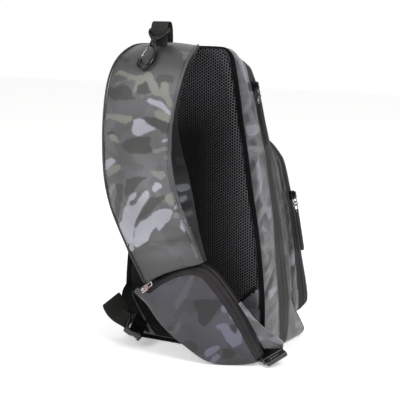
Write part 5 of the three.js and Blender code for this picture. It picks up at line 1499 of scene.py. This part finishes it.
@dataclass
class StrapPouch:
    """The zipped pouch at the strap's lower end."""

    wardrobe: Wardrobe
    repeats: Repeats
    line: StrapLine
    wrinkle: float = 1.0 * MM

    def build(self) -> None:
        """Builds the pouch's face, its zip band, its gusset and its back."""
        face = finer("pouch_front", "pouch_face_cloth", 3)
        points = coordinates(face.data)
        row, side, off = self.line.locate(points)
        facing = normals(face.data)
        outward = np.where(facing @ np.array([0.2, -1.0, 0.1]) > 0, 1.0, -1.0)
        edge = np.clip(points[:, 2] / 0.02, 0, 1) * np.clip(off / 0.006, 0, 1)
        edge = edge * np.clip((0.93 - np.abs(side)) / 0.1, 0, 1)
        slow = noise_field(points, 0.028, 6.6) * self.wrinkle
        place(face.data, points + facing * (slow * edge * outward)[:, None])
        tint_sheen_and_shade = np.zeros((len(points), 3))
        tint_sheen_and_shade[:, 0] = np.clip(0.15 + 0.3 * noise_field(points, 0.06, 5.0), 0, 1)
        tint_sheen_and_shade[:, 1] = 1.0
        set_chart(face.data, chart_by_hand(row, side, POUCH_CHART, (38, 50)), tint_sheen_and_shade)
        dress(face, self.wardrobe.get(DARK_CAMOUFLAGE), "bag", "dark_camouflage_cloth", "pouch_front")
        for node, name, finish, slot in (
            ("pouch_gusset", "pouch_side_cloth", DARK_ZIP_TAPE, "binding_tape"),
            ("pouch_back", "pouch_back_cloth", LINING, "webbing"),
        ):
            piece = finer(node, name, 3)
            dress(piece, self.wardrobe.get(finish), "bag", slot, node)
        self._zip(face)

    def _zip(self, face: bpy.types.Object) -> None:
        """Builds the zip band beside the face, with lips, a groove and teeth."""
        piece = finer("pouch_zipper", "pouch_zip_tape", 3)
        edges = [
            BVHTree.FromPolygons([v.co for v in mesh.vertices], [tuple(f.vertices) for f in mesh.polygons])
            for mesh in (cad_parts["pouch_gusset"].data, face.data)
        ]
        points = coordinates(piece.data)
        near = np.array([[tree.find_nearest(Vector(p))[3] for tree in edges] for p in points])
        share = near[:, 0] / np.maximum(near.sum(axis=1), 1e-6)
        lips = np.exp(-((share - 0.32) / 0.1) ** 2) + np.exp(-((share - 0.68) / 0.1) ** 2)
        groove = np.exp(-((share - 0.5) / 0.06) ** 2) + 0.6 * np.exp(-((share - 0.1) / 0.05) ** 2)
        clear = np.clip(points[:, 2] / 0.02, 0, 1)
        place(piece.data, points + normals(piece.data) * ((0.7 * lips - 0.9 * groove) * MM * clear)[:, None])
        dress(piece, self.wardrobe.get(DARK_ZIP_TAPE), "bag", "zip_tape", "pouch_zipper")
        row, side, _ = self.line.locate(points)
        flat = np.stack([side * 0.05, (13.2 - row) * 0.038], axis=1)
        angle = np.arctan2(flat[:, 1], flat[:, 0])
        reach = np.linalg.norm(flat, axis=1)
        ring = []
        for at in np.linspace(-0.9, 2.6, 150):
            some = np.flatnonzero((np.abs(angle - at) < 0.03) & (np.abs(share - 0.5) < 0.12))
            if len(some) > 2:
                far = some[reach[some] > np.quantile(reach[some], 0.5)]
                ring.append(points[far].mean(axis=0))
        if len(ring) > 8:
            line = np.array(ring)
            for _ in range(3):
                line[1:-1] = (line[:-2] + line[1:-1] * 2 + line[2:]) / 4
            path = [Vector(p) for p in line]
            self.repeats.along("pouch_zip_teeth", [path], ZIP_COIL, "zip_tape", ZIP_TOOTH)


@dataclass
class Hardware:
    """The snap hook, sliders, rings, pullers and buckles, and the webbing that holds them."""

    wardrobe: Wardrobe
    webbing: float = 37 * MM
    # The left webbing's middle in millimetres out, behind and up from the back's edge, and its width's
    # direction
    path: tuple[tuple[tuple[float, ...], tuple[float, ...]], ...] = (
        ((-8, 29, 38), (0.1, -0.95, -0.28)),
        ((3, 30, 50), (-0.03, -0.955, -0.29)),
        ((8.5, 31.5, 58.5), (-0.08, -0.95, -0.3)),
        ((11.2, 33, 60.2), (-0.08, -0.95, -0.3)),
        ((9.6, 35.5, 58.3), (-0.06, -0.953, -0.3)),
        ((2.9, 39, 50.2), (0.03, -0.955, -0.29)),
        ((-4.1, 41, 44.2), (0.13, -0.948, -0.28)),
        ((-12.2, 42.3, 39.5), (0.25, -0.93, -0.27)),
        ((-22.9, 42.1, 35.5), (0.36, -0.895, -0.264)),
        ((-28, 42, 31.5), (0.36, -0.895, -0.264)),
    )

    def build(self) -> None:
        """Builds each piece from its solid."""
        for node, name, levels, shape, finish, slot, body in (
            ("top_loop", "top_loop_webbing", 3, Shape.FIRM, WEBBING, "webbing", "bag"),
            ("hook_eye", "hook_eye_metal", 2, Shape.ROUND, BLACK_METAL, "black_metal", "eye"),
            ("hook_body", "hook_body_metal", 2, Shape.ROUND, BLACK_METAL, "black_metal", "hook"),
            ("hook_gate", "hook_gate_metal", 2, Shape.ROUND, GATE_STEEL, "steel", "gate"),
            ("main_slider", "main_slider_metal", 2, Shape.SOFT, BLACK_METAL, "black_metal", "bag"),
            ("main_pull_ring", "main_pull_ring_metal", 2, Shape.ROUND, BLACK_METAL, "black_metal", "bag"),
            ("main_pull_link", "main_pull_link_metal", 2, Shape.ROUND, BLACK_METAL, "black_metal", "bag"),
            ("main_lower_ring", "main_lower_ring_metal", 2, Shape.ROUND, STEEL, "steel", "bag"),
            ("main_puller", "main_puller_rubber", 2, Shape.SOFT, RUBBER, "puller_rubber", "bag"),
            ("pocket_slider", "pocket_slider_metal", 2, Shape.SOFT, BLACK_METAL, "black_metal", "bag"),
            ("pocket_pull_link", "pocket_pull_link_metal", 2, Shape.ROUND, BLACK_METAL, "black_metal", "bag"),
            ("pocket_pull_loop", "pocket_pull_loop_metal", 2, Shape.ROUND, BLACK_METAL, "black_metal", "bag"),
            ("pocket_pull_ring", "pocket_pull_ring_metal", 2, Shape.ROUND, BLACK_METAL, "black_metal", "bag"),
            ("pocket_puller", "pocket_puller_rubber", 2, Shape.SOFT, RUBBER, "puller_rubber", "bag"),
            ("pouch_slider", "pouch_slider_metal", 2, Shape.SOFT, STEEL, "steel", "bag"),
            ("pouch_pull_tab", "pouch_pull_tab_metal", 2, Shape.SOFT, STEEL, "steel", "pull_tab"),
            ("left_wing", "left_wing_cloth", 3, Shape.SOFT, LINING, "webbing", "bag"),
            ("left_buckle", "left_buckle_plastic", 2, Shape.FIRM, PLASTIC, "black_plastic", "bag"),
            ("right_wing", "right_wing_cloth", 3, Shape.SOFT, LINING, "webbing", "bag"),
            (
                "right_buckle_receiver", "right_receiver_plastic", 2, Shape.FIRM, PLASTIC, "black_plastic",
                "bag",
            ),
            ("right_buckle_tongue", "right_tongue_plastic", 2, Shape.FIRM, PLASTIC, "black_plastic", "bag"),
        ):
            piece = finer(node, name, levels, shape)
            if node in ("hook_eye", "hook_body", "hook_gate"):
                swell(piece, 0.5 * MM)
            dress(piece, self.wardrobe.get(finish), body, slot, node)
        self._webbing()

    def _webbing(self) -> None:
        """Builds the left webbing, which stands up from the wing and folds over into the buckle."""
        rows = []
        for middle, wide in self.path:
            out, ahead, up = (value * MM for value in middle)
            rows.append((Vector((-(BODY_HALF + out), BACK_Y - ahead, up)), Vector(wide)))
        piece = band("left_webbing_strap", rows, self.webbing, 2.0 * MM)
        dress(piece, self.wardrobe.get(WEBBING), "bag", "webbing", "left_webbing")


@dataclass
class Studio:
    """The pale floor, the soft lights and the camera."""

    floor_size: float = 8.0

    def build(self) -> None:
        """Sets the stage."""
        self._floor()
        self._lights()
        self._camera()

    def _floor(self) -> None:
        """Lays a pale plain flat floor."""
        mesh = bpy.data.meshes.new("studio_floor")
        half = self.floor_size / 2
        corners = [(-half, -half, 0), (half, -half, 0), (half, half, 0), (-half, half, 0)]
        mesh.from_pydata([(x, y, z - 0.0005) for x, y, z in corners], [], [(0, 1, 2, 3)])
        floor = bpy.data.objects.new("studio_floor", mesh)
        bpy.context.scene.collection.objects.link(floor)
        pale = bpy.data.materials.new("studio_floor")
        pale.use_nodes = True
        graph = Graph(pale.node_tree)
        shader = graph.node("BsdfPrincipled", {
            "Base Color": (0.86, 0.86, 0.855, 1), "Roughness": 0.8, "Specular IOR Level": 0.1,
            "Emission Color": (1, 1, 0.995, 1), "Emission Strength": 0.3,
        })
        out = graph.node("OutputMaterial")
        graph.tree.links.new(shader.outputs[0], out.inputs[0])
        mesh.materials.append(pale)

    @staticmethod
    def _lights() -> None:
        """Hangs soft area lights in a white room that the cloth mirrors as dimmer in front."""
        world = bpy.data.worlds.new("studio")
        bpy.context.scene.world = world
        world.use_nodes = True
        graph = Graph(world.node_tree)
        way = graph.node("TexCoord").outputs["Generated"]
        behind = graph.node("VectorMath", {0: way, 1: (-0.34, 0.94, 0.0)}, operation="DOT_PRODUCT")
        above = graph.node("SeparateXYZ", {0: way}).outputs[2]
        lit = graph.step(behind.outputs["Value"], 0.3, 0.85)
        level = graph.math("ADD", graph.math("MULTIPLY", lit, 0.78), 0.22)
        level = graph.math("MAXIMUM", level, graph.step(above, 0.3, 0.9))
        seen = graph.node("LightPath").outputs["Is Camera Ray"]
        level = graph.math("MAXIMUM", level, seen)
        sky = graph.node("Background", {"Color": (1, 1, 1, 1), "Strength": level})
        out = graph.node("OutputWorld")
        graph.tree.links.new(sky.outputs[0], out.inputs[0])
        for name, where, size, power in (
            ("key", (1.6, -1.0, 1.5), 0.8, 32.0),
            ("front", (-0.5, -1.9, 1.3), 0.8, 20.0),
        ):
            light = bpy.data.lights.new(name, "AREA")
            light.size = size
            light.energy = power
            lamp = bpy.data.objects.new(name, light)
            lamp.location = where
            aim = Vector((0, -0.05, 0.22)) - Vector(where)
            lamp.rotation_euler = aim.to_track_quat("-Z", "Y").to_euler()
            bpy.context.scene.collection.objects.link(lamp)

    @staticmethod
    def _camera() -> None:
        """Sets the camera at the viewing angle of the picture."""
        azimuth, elevation = math.radians(31), math.radians(9.9)
        back = Vector((
            math.sin(azimuth) * math.cos(elevation),
            -math.cos(azimuth) * math.cos(elevation),
            math.sin(elevation),
        ))
        right = Vector((math.cos(azimuth), math.sin(azimuth), 0))
        up = back.cross(right)
        data = bpy.data.cameras.new("camera")
        data.lens = 108
        data.sensor_width = 36
        data.sensor_fit = "HORIZONTAL"
        camera = bpy.data.objects.new("camera", data)
        camera.matrix_world = Matrix((
            (right.x, up.x, back.x, 0.8579), (right.y, up.y, back.y, -1.4766), (right.z, up.z, back.z, 0.499),
            (0, 0, 0, 1),
        ))
        bpy.context.scene.collection.objects.link(camera)
        bpy.context.scene.camera = camera


def main() -> None:
    """Builds the studio and every piece of the bag."""
    logging.basicConfig(level=logging.INFO, format="%(name)s %(message)s")
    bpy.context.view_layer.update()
    bpy.context.scene.view_settings.view_transform = "Standard"
    Studio().build()
    wardrobe = Wardrobe()
    repeats = Repeats(wardrobe)
    line = StrapLine()
    body = BagBody(wardrobe, repeats)
    body.build()
    FrontPocket(wardrobe, body).build()
    ShoulderStrap(wardrobe, repeats, line).build()
    StrapPouch(wardrobe, repeats, line).build()
    Hardware(wardrobe).build()


if __name__ == "__main__":
    main()
